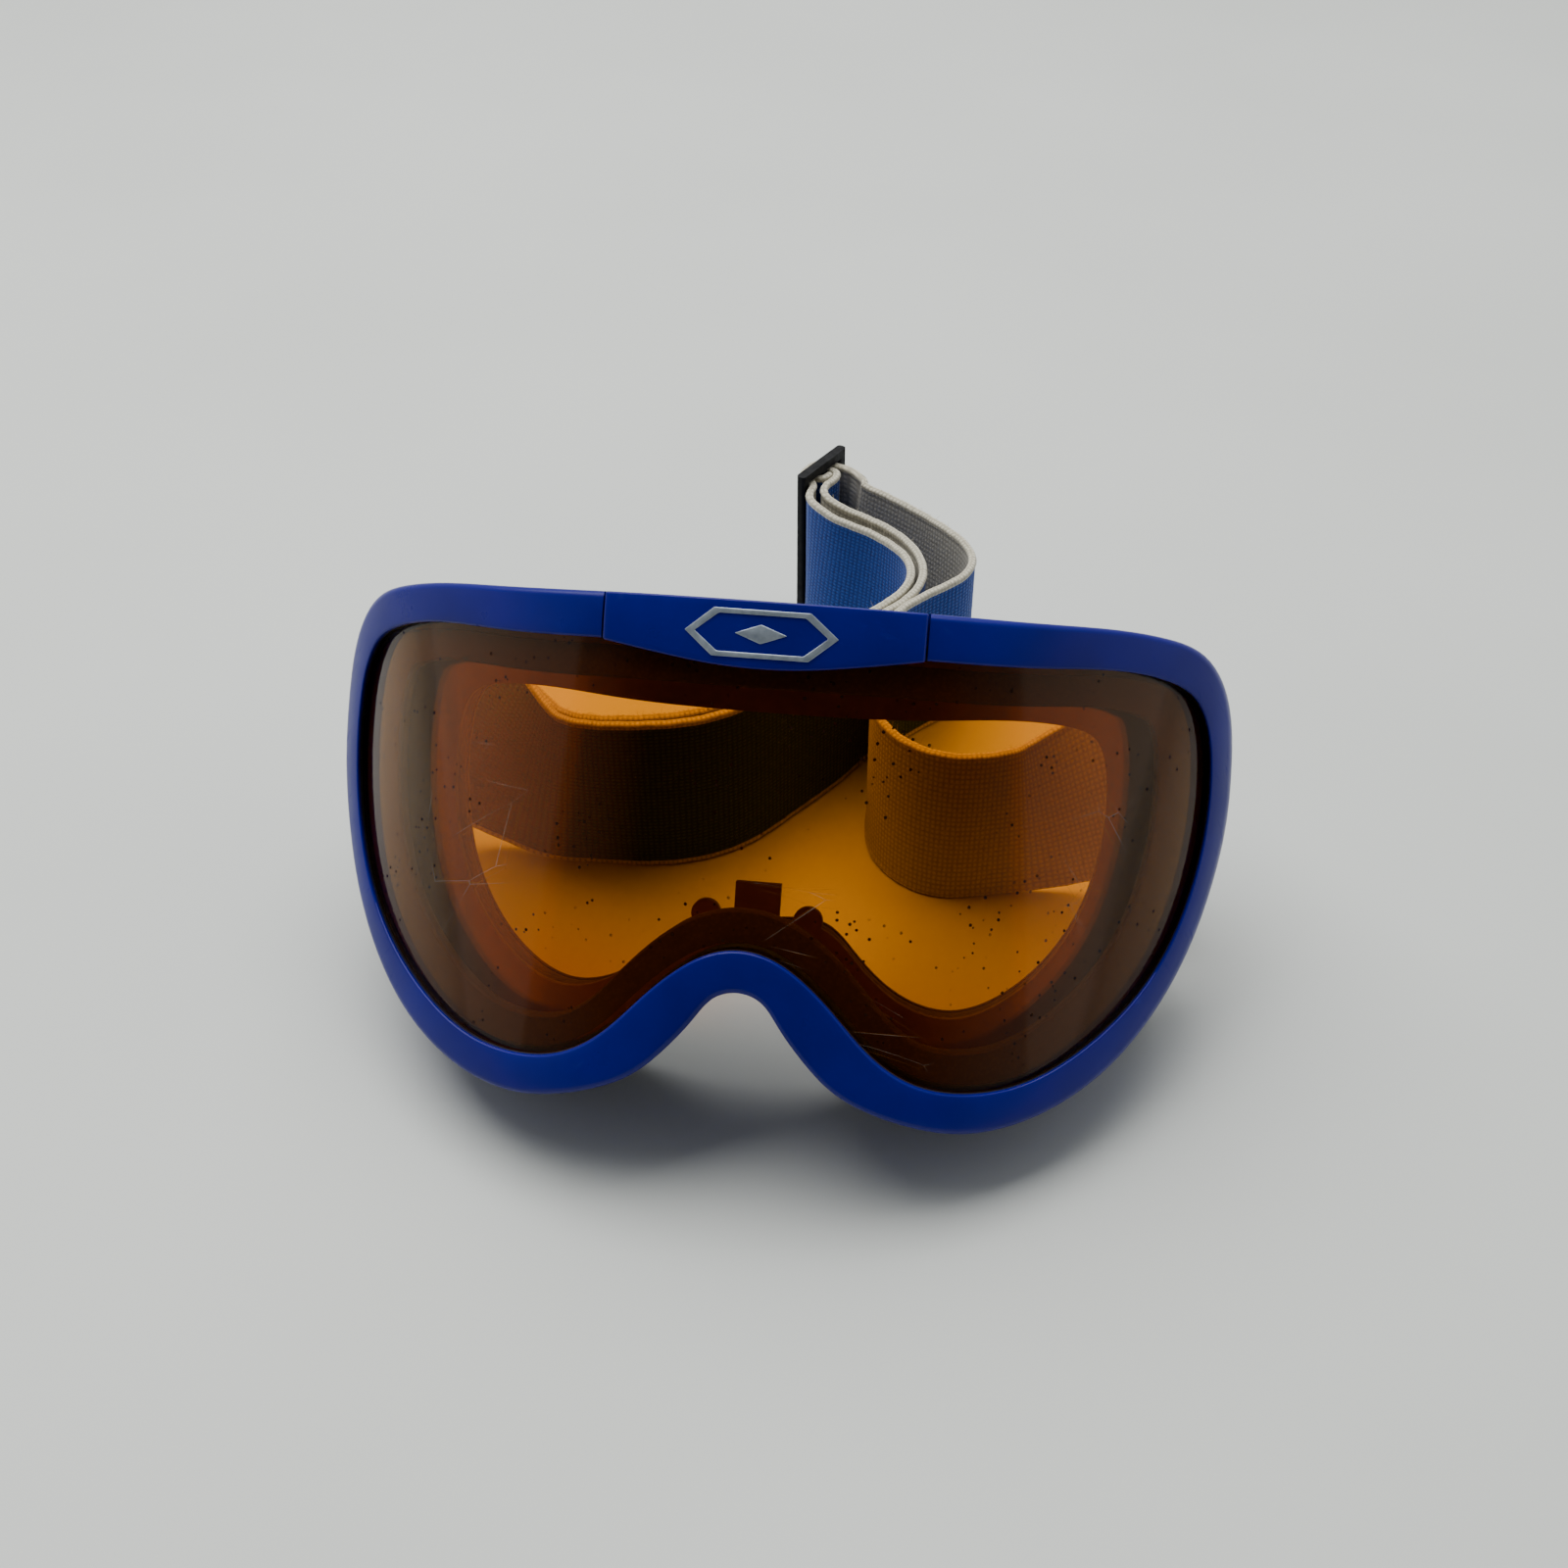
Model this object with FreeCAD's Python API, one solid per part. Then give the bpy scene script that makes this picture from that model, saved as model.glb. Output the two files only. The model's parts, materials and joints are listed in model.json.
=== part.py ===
import FreeCAD, Part
import math
import os

# Ski goggles at rest on a table, millimetres. The goggles are designed upright: x to the right
# as seen from in front of the lens, y back towards the face, z up, with the origin at the middle
# of the lip's front. They are then leaned back on their lower foam edge, as they lie at rest,
# with the strap standing on its edge behind them.

# Driving dimensions.
lip_radius = 110.0       # the rim's front is part of an upright cylinder
face_radius = 118.0      # so is the side that meets the face
shell_depth = 24.0       # from the lip to the back of the moulded frame, at the middle
flange_thickness = 2.0
foam_thickness = 9.5
fleece_thickness = 2.5
lip_thickness = 1.0      # blue lip in front of the black gasket
lens_recess = 1.8        # from the lip to the front of the lens
lens_thickness = 0.8
spacer_thickness = 4.0
inner_lens_thickness = 0.8
gasket_depth = 8.5       # from the lip to the back of the gasket
gasket_width = 2.6
ledge_depth = 10.6       # from the lip to the back of the ledge behind the gasket
wall = 2.4
vent_foam_thickness = 3.0
seam_half_width = 28.5   # the brow panel lies between two seams
panel_thickness = 1.4
panel_gap = 0.15
lean = 35.0              # how far the goggles lean back at rest, degrees
strap_width = 40.0
strap_thickness = 1.5
pin_radius = 1.3
hinge_clearance = 0.05
anchor_swing = 20.0      # how far the anchors point inwards at rest, degrees
pivot_x = 83.0
pivot_y = 66.5
ear_inner_z = 20.0
ear_outer_z = 24.4
bar_reach = 13.6         # from an anchor's pivot to the bar that holds the strap
bar_half_depth = 0.95
plate_half = 1.1         # half the thickness of an anchor's plate
slider_start = (-9.0, 151.0)   # plan position of the slider's near end, from the lens centre
slider_heading = 62.1    # degrees from the x axis
slider_length = 19.0
slider_height = 45.0
slider_thickness = 2.4
end_bar = 3.0
middle_bar = 3.0

# Half outlines seen from the front, from the nose round one side to the brow: (x, z).
# The other half is the mirror image.
rim_outline = [
    (0, -37.2), (4, -38.4), (7.4, -42.4), (12.5, -48.7), (18, -53.8), (25, -57.4), (33, -59.8),
    (41, -60.8), (49, -59.8), (58, -56.4), (67, -50.3), (76, -40), (82, -29), (86, -17),
    (88.2, -5), (88.3, 7), (87.2, 16), (84.6, 23), (80, 28), (72, 30.6), (50, 31.6), (25, 31.9),
    (0, 32),
]
opening_outline = [
    (0, -29.6), (5, -30.5), (10.5, -33.6), (17.5, -40), (24.5, -47.2), (32.5, -52), (41.7, -53.4),
    (52, -51.6), (61, -46.8), (69, -40), (76, -30.8), (81, -18.6), (83.4, -5), (83.3, 7),
    (81.8, 14.5), (78.5, 20), (72, 23), (50, 23.7), (25, 23.7), (0, 23.7),
]
face_outline = [
    (0, -28), (7, -27.6), (12.5, -28.4), (19, -34), (27.5, -41.5), (38, -44.5), (47, -41.3),
    (56, -33), (62, -22), (64.6, -9), (64.4, 3), (61.5, 10.4), (54, 12.8), (30, 12.2), (0, 11.6),
]
brow_edge = [(-28.5, 23.4), (-17, 21.6), (-8, 20.5), (8, 20.5), (17, 21.6), (28.5, 23.4)]

nose_bump_x = 9.7             # a small round bump each side of the nose tab
nose_bump_radius = 2.8
spacer_widths = (7.0, 11.0)   # the spacer foam's width at the nose and brow, and at the sides
foam_inset = 4.5
foam_squeeze = 0.93           # the foam stops short of the anchors at the sides

os.makedirs("parts", exist_ok=True)
V = FreeCAD.Vector
X_AXIS = V(1, 0, 0)
Z_AXIS = V(0, 0, 1)
FAR = 200.0


# ---- building blocks ----

def closed_curve(half_outline):
    points = [V(x, 0, z) for x, z in half_outline]
    points += [V(-x, 0, z) for x, z in reversed(half_outline) if x > 0]
    curve = Part.BSplineCurve()
    curve.interpolate(Points=points, PeriodicFlag=True)
    return curve


def grown(half_outline, distance):
    """The half outline moved outwards by the distance, inwards when it is negative."""
    curve = closed_curve(half_outline)
    moved = []
    for x, z in half_outline:
        along = curve.tangent(curve.parameter(V(x, 0, z)))[0]
        sideways = distance * along.z if x > 0 else 0
        moved.append((x + sideways, z - distance * along.x))
    return moved


def squeezed(half_outline, factor):
    return [(x * factor, z) for x, z in half_outline]


def prism(half_outline):
    """Everything inside the outline, from well in front of the goggles to well behind."""
    wire = Part.Wire([closed_curve(half_outline).toShape()])
    face = Part.Face(wire)
    face.translate(V(0, -20, 0))
    return face.extrude(V(0, 120, 0))


def behind_lip(depth):
    """Everything further back than the lip's front by the depth."""
    return Part.makeCylinder(lip_radius - depth, FAR, V(0, lip_radius, -FAR / 2))


def behind_face_side(offset):
    """Everything further back than the face-side surface, which passes y = offset at x = 0."""
    return Part.makeCylinder(face_radius, FAR, V(0, offset + face_radius, -FAR / 2))


def lens_layer(front, back):
    return behind_lip(front).cut(behind_lip(back))


def face_layer(front, back):
    return behind_face_side(front).cut(behind_face_side(back))


def lip_y(x, depth):
    return lip_radius - math.sqrt((lip_radius - depth) ** 2 - x ** 2)


def face_y(x, offset):
    return offset + face_radius - math.sqrt(face_radius ** 2 - x ** 2)


def box(x0, x1, y0, y1, z0, z1):
    return Part.makeBox(x1 - x0, y1 - y0, z1 - z0, V(x0, y0, z0))


def mirrored(shape):
    return shape.mirror(V(0, 0, 0), X_AXIS)


def vent_y(x):
    """The middle of the hollow wall behind the lens ledge, where the vents are."""
    return (lip_y(x, ledge_depth) + face_y(x, shell_depth)) / 2


# ---- frame, brow panel and ornament ----

def ears():
    """Two ears at each side of the frame, which hold the anchor pins."""
    shapes = []
    for low in (ear_inner_z, -ear_outer_z):
        height = ear_outer_z - ear_inner_z
        ear = box(pivot_x - 2.6, pivot_x + 2.6, 56, pivot_y, low, low + height)
        ear = ear.fuse(Part.makeCylinder(2.6, height, V(pivot_x, pivot_y, low)))
        ear = ear.cut(Part.makeCylinder(pin_radius, height, V(pivot_x, pivot_y, low)))
        shapes += [ear, mirrored(ear)]
    return shapes


def panel_block(gap):
    """The room for the brow panel: between the seams, over the lens's upper edge."""
    half = seam_half_width + gap
    edge = Part.BSplineCurve()
    edge.interpolate([V(x * half / seam_half_width, -20, z - gap) for x, z in brow_edge])
    left, right = V(-half, -20, 60), V(half, -20, 60)
    sides = [
        Part.makeLine(edge.value(edge.LastParameter), right),
        Part.makeLine(right, left),
        Part.makeLine(left, edge.value(edge.FirstParameter)),
    ]
    wire = Part.Wire([edge.toShape()] + sides)
    return Part.Face(wire).extrude(V(0, 60, 0)).cut(behind_lip(panel_thickness + gap))


def vent_slots():
    slots = []
    for x in (8, 24, 40, 56):
        y = vent_y(x)
        top = box(x - 5.5, x + 5.5, y - 3, y + 3, 25, 45)
        slots += [top, mirrored(top)]
    for x in (31, 42, 53):
        y = vent_y(x)
        bottom = box(x - 3.5, x + 3.5, y - 2.5, y + 2.5, -75, -50)
        slots += [bottom, mirrored(bottom)]
    return slots


def frame_shell():
    shell = prism(rim_outline).common(behind_lip(0)).cut(behind_face_side(shell_depth))
    shell = shell.cut(prism(opening_outline))
    seat = prism(grown(opening_outline, gasket_width))
    shell = shell.cut(seat.common(lens_layer(lip_thickness, gasket_depth)))
    cavity = prism(grown(rim_outline, -wall)).common(behind_lip(ledge_depth))
    shell = shell.cut(cavity)
    shell = shell.fuse(ears())
    for slot in vent_slots():
        shell = shell.cut(slot)
    return shell.cut(panel_block(panel_gap))


def brow_panel():
    panel = panel_block(0).common(behind_lip(-0.5))
    return panel.common(prism(rim_outline))


def brow_emblem():
    """A slim hexagon ring with a lozenge in it, raised a little from the brow panel."""
    middle = 26.2
    reach, rise, band = 13.5, 4.2, 0.9

    def plate(outline):
        points = [V(x, -5, middle + z) for x, z in outline]
        return Part.Face(Part.makePolygon(points + points[:1])).extrude(V(0, 12, 0))

    def hexagon(shrink):
        tip, flat, half = reach - 2 * shrink, reach - 5 - shrink, rise - shrink
        return [(-tip, 0), (-flat, -half), (flat, -half), (tip, 0), (flat, half), (-flat, half)]

    lozenge = [(-4.6, 0), (0, -1.7), (4.6, 0), (0, 1.7)]
    marks = plate(hexagon(0)).cut(plate(hexagon(band))).fuse(plate(lozenge))
    raised = behind_lip(-0.9).cut(behind_lip(-0.5))
    return marks.common(raised)


# ---- lens unit ----

def lens_gasket():
    ring = prism(grown(opening_outline, gasket_width)).cut(prism(opening_outline))
    ring = ring.common(lens_layer(lip_thickness, gasket_depth))
    groove = prism(grown(opening_outline, gasket_width - 0.6))
    groove = groove.common(lens_layer(lens_recess, lens_recess + lens_thickness))
    return ring.cut(groove).cut(panel_block(panel_gap))


def outer_lens():
    sheet = prism(grown(opening_outline, gasket_width - 0.7))
    return sheet.common(lens_layer(lens_recess, lens_recess + lens_thickness))


def lens_spacer_foam():
    """The band of foam between the lenses, wider at the sides."""
    front = lens_recess + lens_thickness
    narrow, wide = spacer_widths
    inside = grown(opening_outline, -narrow)
    widest = max(x for x, z in inside)
    factor = (widest + narrow - wide) / widest
    band = prism(grown(opening_outline, -1.2)).cut(prism(squeezed(inside, factor)))
    return band.common(lens_layer(front, front + spacer_thickness))


def inner_lens():
    front = lens_recess + lens_thickness + spacer_thickness
    sheet = prism(grown(opening_outline, -1.2))
    return sheet.common(lens_layer(front, front + inner_lens_thickness))


# ---- vents and face side ----

def vent_zone():
    return behind_lip(ledge_depth + 0.3).cut(behind_face_side(shell_depth - 0.2))


def vent_foam():
    outside = prism(grown(rim_outline, -wall - 0.1))
    inside = prism(grown(rim_outline, -wall - vent_foam_thickness))
    return outside.cut(inside).common(vent_zone())


def top_vent_foam():
    return vent_foam().common(box(-66, 66, -10, 100, 15, 40))


def bottom_vent_foam():
    return vent_foam().common(box(25, 60, -10, 100, -70, -40))


def face_flange():
    """The dark plate behind the frame, with the face opening and the nose tab."""
    back = shell_depth + flange_thickness
    plate = prism(grown(rim_outline, -0.4)).cut(prism(face_outline))
    plate = plate.fuse(box(-4.3, 4.3, -10, 60, -31, -20.5))
    for x in (-nose_bump_x, nose_bump_x):
        plate = plate.fuse(Part.makeCylinder(nose_bump_radius, 70, V(x, -10, -27.2), V(0, 1, 0)))
    plate = plate.common(face_layer(shell_depth, back))
    for low in (ear_inner_z, -ear_outer_z):
        room = box(pivot_x - 3, pivot_x + 6, 40, 80, low - 0.3, low + 4.7)
        plate = plate.cut(room).cut(mirrored(room))
    return plate


def foam_ring(front, back):
    outside = squeezed(grown(rim_outline, -foam_inset), foam_squeeze)
    ring = prism(outside).cut(prism(grown(face_outline, 0.8)))
    return ring.common(face_layer(front, back))


# ---- strap anchors ----

def anchor_pin():
    pin = Part.makeCylinder(pin_radius, 2 * ear_outer_z, V(pivot_x, pivot_y, -ear_outer_z))
    return pin.fuse(Part.makeCylinder(2.1, 1.2, V(pivot_x, pivot_y, ear_outer_z)))


def strap_anchor():
    """A barrel on the pin, a plate that points back, and a slot with the strap's bar behind it."""
    half = ear_inner_z - 0.3
    anchor = Part.makeCylinder(2.6, 2 * half, V(0, 0, -half))
    anchor = anchor.fuse(box(-plate_half, plate_half, 0, 6, -half, half))
    plate_end = bar_reach + bar_half_depth
    anchor = anchor.fuse(box(-plate_half, plate_half, 5.5, plate_end, -24, 24))
    anchor = anchor.cut(box(-2, 2, 8.5, bar_reach - bar_half_depth, -21.2, 21.2))
    anchor = anchor.cut(Part.makeCylinder(pin_radius + hinge_clearance, 60, V(0, 0, -30)))
    anchor.rotate(V(0, 0, 0), Z_AXIS, anchor_swing)
    anchor.translate(V(pivot_x, pivot_y, 0))
    return anchor


# ---- resting place ----

def at_rest(shape):
    """The shape leaned back with the goggles, about the lip's middle."""
    return shape.rotated(V(0, 0, 0), X_AXIS, -lean)


def resting_point(x, y, z=0.0):
    turn = math.radians(lean)
    return V(x, y * math.cos(turn) + z * math.sin(turn), z * math.cos(turn) - y * math.sin(turn))


# ---- strap ----

def along_route(points, steps_per_span):
    """Points and directions along a smooth route through the points, several to each span."""
    route = Part.BSplineCurve()
    route.interpolate(points)
    places = [route.parameter(point) for point in points]
    stations = []
    for span in range(len(points) - 1):
        for step in range(steps_per_span):
            share = step / steps_per_span
            where = places[span] * (1 - share) + places[span + 1] * share
            stations.append((route.value(where), route.tangent(where)[0], span + share))
    stations.append((points[-1], route.tangent(places[-1])[0], len(points) - 1.0))
    return stations


def upright_ribbon(plan, rise=0.0):
    """Webbing that stands on its edge along the plan route, on the table or a little above it."""
    left, right = [], []
    for middle, along, place in along_route([V(x, y, 0) for x, y in plan], 3):
        sideways = Z_AXIS.cross(along) * (strap_thickness / 2)
        left.append(middle + sideways)
        right.append(middle - sideways)
    sides = []
    for points in (left, right):
        side = Part.BSplineCurve()
        side.interpolate(points)
        sides.append(side.toShape())
    ends = [Part.makeLine(left[0], right[0]), Part.makeLine(right[-1], left[-1])]
    wire = Part.Wire(Part.__sortEdges__(sides + ends))
    face = Part.Face(wire)
    face.translate(V(0, 0, rise - rest_height))
    return face.extrude(V(0, 0, strap_width))


def leaning_ribbon(path, tilts):
    """Webbing through the points of the path, its width leaned back from upright by the tilts."""
    sections = []
    for middle, along, place in along_route(path, 3):
        span = min(int(place), len(tilts) - 2)
        tilt = tilts[span] + (tilts[span + 1] - tilts[span]) * (place - span)
        across = V(0, math.sin(math.radians(tilt)), math.cos(math.radians(tilt)))
        across = (across - along * across.dot(along)).normalize()
        half_width = across * (strap_width / 2)
        half_depth = along.cross(across) * (strap_thickness / 2)
        sections.append([
            middle - half_width - half_depth,
            middle + half_width - half_depth,
            middle + half_width + half_depth,
            middle - half_width + half_depth,
        ])
    triangles = []
    for near, far in zip(sections, sections[1:]):
        for i in range(4):
            j = (i + 1) % 4
            triangles.append([near[i], near[j], far[j]])
            triangles.append([near[i], far[j], far[i]])
    for end in (sections[0], sections[-1]):
        triangles.append([end[0], end[1], end[2]])
        triangles.append([end[0], end[2], end[3]])
    faces = [Part.Face(Part.makePolygon(corners + corners[:1])) for corners in triangles]
    shell = Part.makeShell(faces)
    shell.sewShape()
    solid = Part.makeSolid(shell)
    if solid.Volume < 0:
        solid.reverse()
    return solid


def offset_route(route, gaps):
    """The plan route moved to its right by each gap."""
    moved = []
    for i, (x, y) in enumerate(route):
        x0, y0 = route[max(i - 1, 0)]
        x1, y1 = route[min(i + 1, len(route) - 1)]
        length = math.hypot(x1 - x0, y1 - y0)
        moved.append((x + gaps[i] * (y1 - y0) / length, y - gaps[i] * (x1 - x0) / length))
    return moved


def by_slider(s, q):
    """A plan point given along the slider and to its left."""
    turn = math.radians(slider_heading)
    x = slider_start[0] + s * math.cos(turn) - q * math.sin(turn)
    y = slider_start[1] + s * math.sin(turn) + q * math.cos(turn)
    return (x, y)


# The doubled stretch runs from the left anchor to the slider. Its route is the layer that goes
# on through the slider, and its gap is how far to the right of it the sewn layer runs.
doubled_route = [
    (-46, 57.2, 2.2), (-33, 58, 2.4), (-21, 61.6, 2.8), (-12, 68, 2.8), (-4.5, 77, 2.4),
    (3, 87, 2.2), (8, 95, 2.2), (11.5, 101.5, 2.2), (16, 107.5, 2.4), (19.5, 113.5, 2.6),
    (20.8, 120, 2.8), (19.2, 127, 3.2), (14.5, 133, 4.2), (8, 137.2, 4.8), (1, 140.4, 5.0),
    (-4, 144.4, 4.6),
]
single_route = [
    (6.2, 157.2), (11.5, 153.4), (17.5, 149.6), (23.5, 145.2), (29.5, 139.2), (33.6, 133),
    (34.8, 126.6), (32.6, 120.4), (28, 115.2), (22.6, 109.4), (18.4, 103), (16.6, 96), (16.2, 87),
    (16, 77), (17.6, 66), (23.5, 57.6), (33, 53.4), (45, 55.6),
]
# Through the slider, in its own (s, q): in by the first slot, over the middle bar, out by the
# second. The sewn end loops round the middle bar inside that.
weave_route = [
    (-0.6, -3.3), (1.9, -2.4), (3.7, -1.4), (4.7, 0), (5.3, 2.2), (7, 3.7), (9.5, 4.05),
    (12, 3.7), (13.7, 2.2), (14.3, 0), (14.6, -1.8), (14.9, -3.6), (14.8, -5.6),
]
sewn_loop_route = [
    (3.6, -4.8), (7, -4.3), (10.2, -4.0), (11.8, -2.8), (12, -1), (11.9, 0.6), (11.6, 1.7),
    (10.7, 2.2), (9.5, 2.25), (8.3, 2.2), (7.4, 1.7), (7.05, 0.6), (7.05, -0.8), (7.6, -1.8),
    (8.8, -2.1), (10.2, -2.05),
]


def doubled_layers():
    """The layer that goes on through the slider, the sewn layer beside it, and their first points."""
    route = [(x, y) for x, y, gap in doubled_route]
    beside = offset_route(route, [gap for x, y, gap in doubled_route])
    running = upright_ribbon(route + [by_slider(-1.2, -3.6)])
    sewn = upright_ribbon(beside + [by_slider(3.0, -4.9)])
    return running, sewn, route[0], beside[0]


def slider_ribbon(route):
    """Webbing in the slider, which holds its edge clear of the slider's lower rail."""
    return upright_ribbon([by_slider(s, q) for s, q in route], (slider_height - strap_width) / 2)


# Towards an anchor the strap leaves the table and leans back like the goggles. Each leg gives the
# distance out from the middle, the plan distance back, the rise and the tilt.
outer_leg = [(51.5, 57.5, 0.5, 3), (58, 59.8, 1.9, 10), (67, 63.6, 4.0, 21), (73, 65.8, 4.9, 29)]
inner_leg = [(73.5, 62.4, 7.8, 34), (67, 60.9, 5.4, 22), (58, 57.3, 2.0, 10),
             (51.5, 55.2, 0.5, 3)]
tail_leg = [(73.5, 62.4, 7.8, 34), (69.5, 62.2, 6.8, 25)]
stretch_gap = 2.5    # left between one modelled stretch of strap and the next


def bar_room(side):
    """The room round an anchor's bar, which the strap leaves free."""
    gap = 0.15
    half = bar_half_depth + gap
    room = box(-plate_half - gap, plate_half + gap, bar_reach - half, bar_reach + half, -24, 24)
    room.rotate(V(0, 0, 0), Z_AXIS, anchor_swing)
    room.translate(V(pivot_x, pivot_y, 0))
    return at_rest(room if side > 0 else mirrored(room))


def lead(side, start, legs, finish):
    """The strap from the table to an anchor, round its bar and back by the last leg."""
    def standing(x, y, rise):
        return V(x, y, strap_width / 2 - rest_height + rise)

    swing = math.radians(anchor_swing)
    bar_x = pivot_x - bar_reach * math.sin(swing)
    bar_y = pivot_y + bar_reach * math.cos(swing)
    turn_radius = 2.8
    path = [standing(start[0] + side * stretch_gap, start[1], 0)]
    tilts = [0]
    for x, y, rise, tilt in legs[0]:
        path.append(standing(side * x, y, rise))
        tilts.append(tilt)
    for angle in (90, 45, 0, -45, -90):
        reach = turn_radius * math.cos(math.radians(angle))
        back = turn_radius * math.sin(math.radians(angle))
        path.append(resting_point(side * (bar_x + reach), bar_y + back))
        tilts.append(lean)
    for x, y, rise, tilt in legs[1]:
        path.append(standing(side * x, y, rise))
        tilts.append(tilt)
    if finish:
        path.append(standing(finish[0] + side * stretch_gap, finish[1], 0))
        tilts.append(0)
    return leaning_ribbon(path, tilts).cut(bar_room(side))


# ---- slider ----

def strap_slider():
    """A flat three-bar slider that stands upright on the strap, its bars rounded."""
    half = slider_thickness / 2
    rail = (slider_height - strap_width) / 2 - 0.3
    slider = box(0, slider_length, -half, half, 0, slider_height)
    middle = slider_length / 2
    first_slot = (end_bar, middle - middle_bar / 2)
    second_slot = (middle + middle_bar / 2, slider_length - end_bar)
    for start, end in (first_slot, second_slot):
        slider = slider.cut(box(start, end, -5, 5, rail, slider_height - rail))
    upright = [edge for edge in slider.Edges if edge.BoundBox.ZLength > strap_width / 2]
    slider = slider.makeFillet(0.9, upright)
    slider.rotate(V(0, 0, 0), Z_AXIS, slider_heading)
    slider.translate(V(slider_start[0], slider_start[1], 0.1 - rest_height))
    return slider


# ---- the whole object, moved to its own frame ----

flange_back = shell_depth + flange_thickness
foam_back = flange_back + foam_thickness
fleece_back = foam_back + fleece_thickness

goggles = {
    "frame_shell": frame_shell(),
    "brow_panel": brow_panel(),
    "brow_emblem": brow_emblem(),
    "lens_gasket": lens_gasket(),
    "outer_lens": outer_lens(),
    "lens_spacer_foam": lens_spacer_foam(),
    "inner_lens": inner_lens(),
    "top_vent_foam": top_vent_foam(),
    "bottom_vent_foam_left": mirrored(bottom_vent_foam()),
    "bottom_vent_foam_right": bottom_vent_foam(),
    "face_flange": face_flange(),
    "face_foam": foam_ring(flange_back, foam_back),
    "face_fleece": foam_ring(foam_back, fleece_back),
    "strap_anchor_left": mirrored(strap_anchor()),
    "strap_anchor_right": strap_anchor(),
    "anchor_pin_left": mirrored(anchor_pin()),
    "anchor_pin_right": anchor_pin(),
}
pieces = {name: at_rest(shape) for name, shape in goggles.items()}

# The fleece's lowest edge rests on the table, and the strap and slider stand on it too.
rest_height = -pieces["face_fleece"].optimalBoundingBox().ZMin
running_layer, sewn_layer, left_start, left_finish = doubled_layers()
pieces["strap_running_layer"] = running_layer
pieces["strap_sewn_layer"] = sewn_layer
pieces["strap_single_layer"] = upright_ribbon([by_slider(14.4, -6.9)] + single_route)
pieces["strap_weave"] = slider_ribbon(weave_route)
pieces["strap_sewn_loop"] = slider_ribbon(sewn_loop_route)
pieces["strap_lead_left"] = lead(-1, left_start, (outer_leg, inner_leg), left_finish)
pieces["strap_lead_right"] = lead(1, single_route[-1], (outer_leg, tail_leg), None)
pieces["strap_slider"] = strap_slider()

bounds = Part.makeCompound(list(pieces.values())).optimalBoundingBox()
to_own_frame = V(-bounds.Center.x, -bounds.Center.y, -bounds.ZMin)
for name, shape in pieces.items():
    shape.translate(to_own_frame)
    shape.exportStep(f"parts/{name}.step")
    print(name, "solids", len(shape.Solids), "valid", shape.isValid(), "volume", round(shape.Volume))

print("size", round(bounds.XLength, 1), round(bounds.YLength, 1), round(bounds.ZLength, 1))
print("lip middle", [round(value, 2) for value in to_own_frame])
for side in (-1, 1):
    pivot = resting_point(side * pivot_x, pivot_y) + to_own_frame
    print("anchor pivot", [round(value, 2) for value in pivot])
middle = by_slider(slider_length / 2, 0)
print("slider middle", [round(middle[0] + to_own_frame.x, 2), round(middle[1] + to_own_frame.y, 2)])
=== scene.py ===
import json
import math

import bmesh
import bpy
import numpy as np
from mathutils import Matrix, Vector


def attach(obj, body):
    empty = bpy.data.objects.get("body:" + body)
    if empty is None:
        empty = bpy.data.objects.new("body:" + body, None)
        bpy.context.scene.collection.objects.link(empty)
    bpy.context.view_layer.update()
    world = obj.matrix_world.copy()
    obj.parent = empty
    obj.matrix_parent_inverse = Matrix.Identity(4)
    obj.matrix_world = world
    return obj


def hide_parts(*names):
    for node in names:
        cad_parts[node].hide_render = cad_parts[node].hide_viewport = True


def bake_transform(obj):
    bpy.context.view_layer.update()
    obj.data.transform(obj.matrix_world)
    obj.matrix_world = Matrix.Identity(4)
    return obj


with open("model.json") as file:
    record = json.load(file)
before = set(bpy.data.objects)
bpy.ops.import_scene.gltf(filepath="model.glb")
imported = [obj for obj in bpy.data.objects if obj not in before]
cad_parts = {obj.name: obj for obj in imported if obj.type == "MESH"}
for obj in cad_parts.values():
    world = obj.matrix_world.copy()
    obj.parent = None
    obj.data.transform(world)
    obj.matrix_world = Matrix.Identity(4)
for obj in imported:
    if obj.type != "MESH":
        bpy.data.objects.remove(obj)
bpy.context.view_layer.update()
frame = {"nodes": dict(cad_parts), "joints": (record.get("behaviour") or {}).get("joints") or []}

# ---- How the goggles lie ----
# The goggles lean back on the lower edge of their foam, and the strap stands on its edge behind
# them. Shapes are given upright in millimetres, x to the right, y back, z up, from the middle of
# the lip's front, and then leaned back about it.

LEAN = math.radians(35)
PIVOT_X, PIVOT_Y = 83.0, 66.5
swivel = next(j for j in frame["joints"] if j["name"] == "anchor_left_swivel")
pivot = np.array(swivel["pos_m"])
lip_middle = pivot - np.array([
    -PIVOT_X, PIVOT_Y * math.cos(LEAN), -PIVOT_Y * math.sin(LEAN)]) / 1000


def leaned(points):
    p = np.asarray(points, float) / 1000
    x, y, z = p[..., 0], p[..., 1], p[..., 2]
    back = y * math.cos(LEAN) + z * math.sin(LEAN)
    up = z * math.cos(LEAN) - y * math.sin(LEAN)
    return np.stack([x, back, up], -1) + lip_middle


# ---- Moulded frame ----
# One injection moulding in satin royal blue: a lip round the lens, a wall that runs back to the
# face side, a ledge behind the gasket, vents above and below, and ears for the anchor pins.

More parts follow.
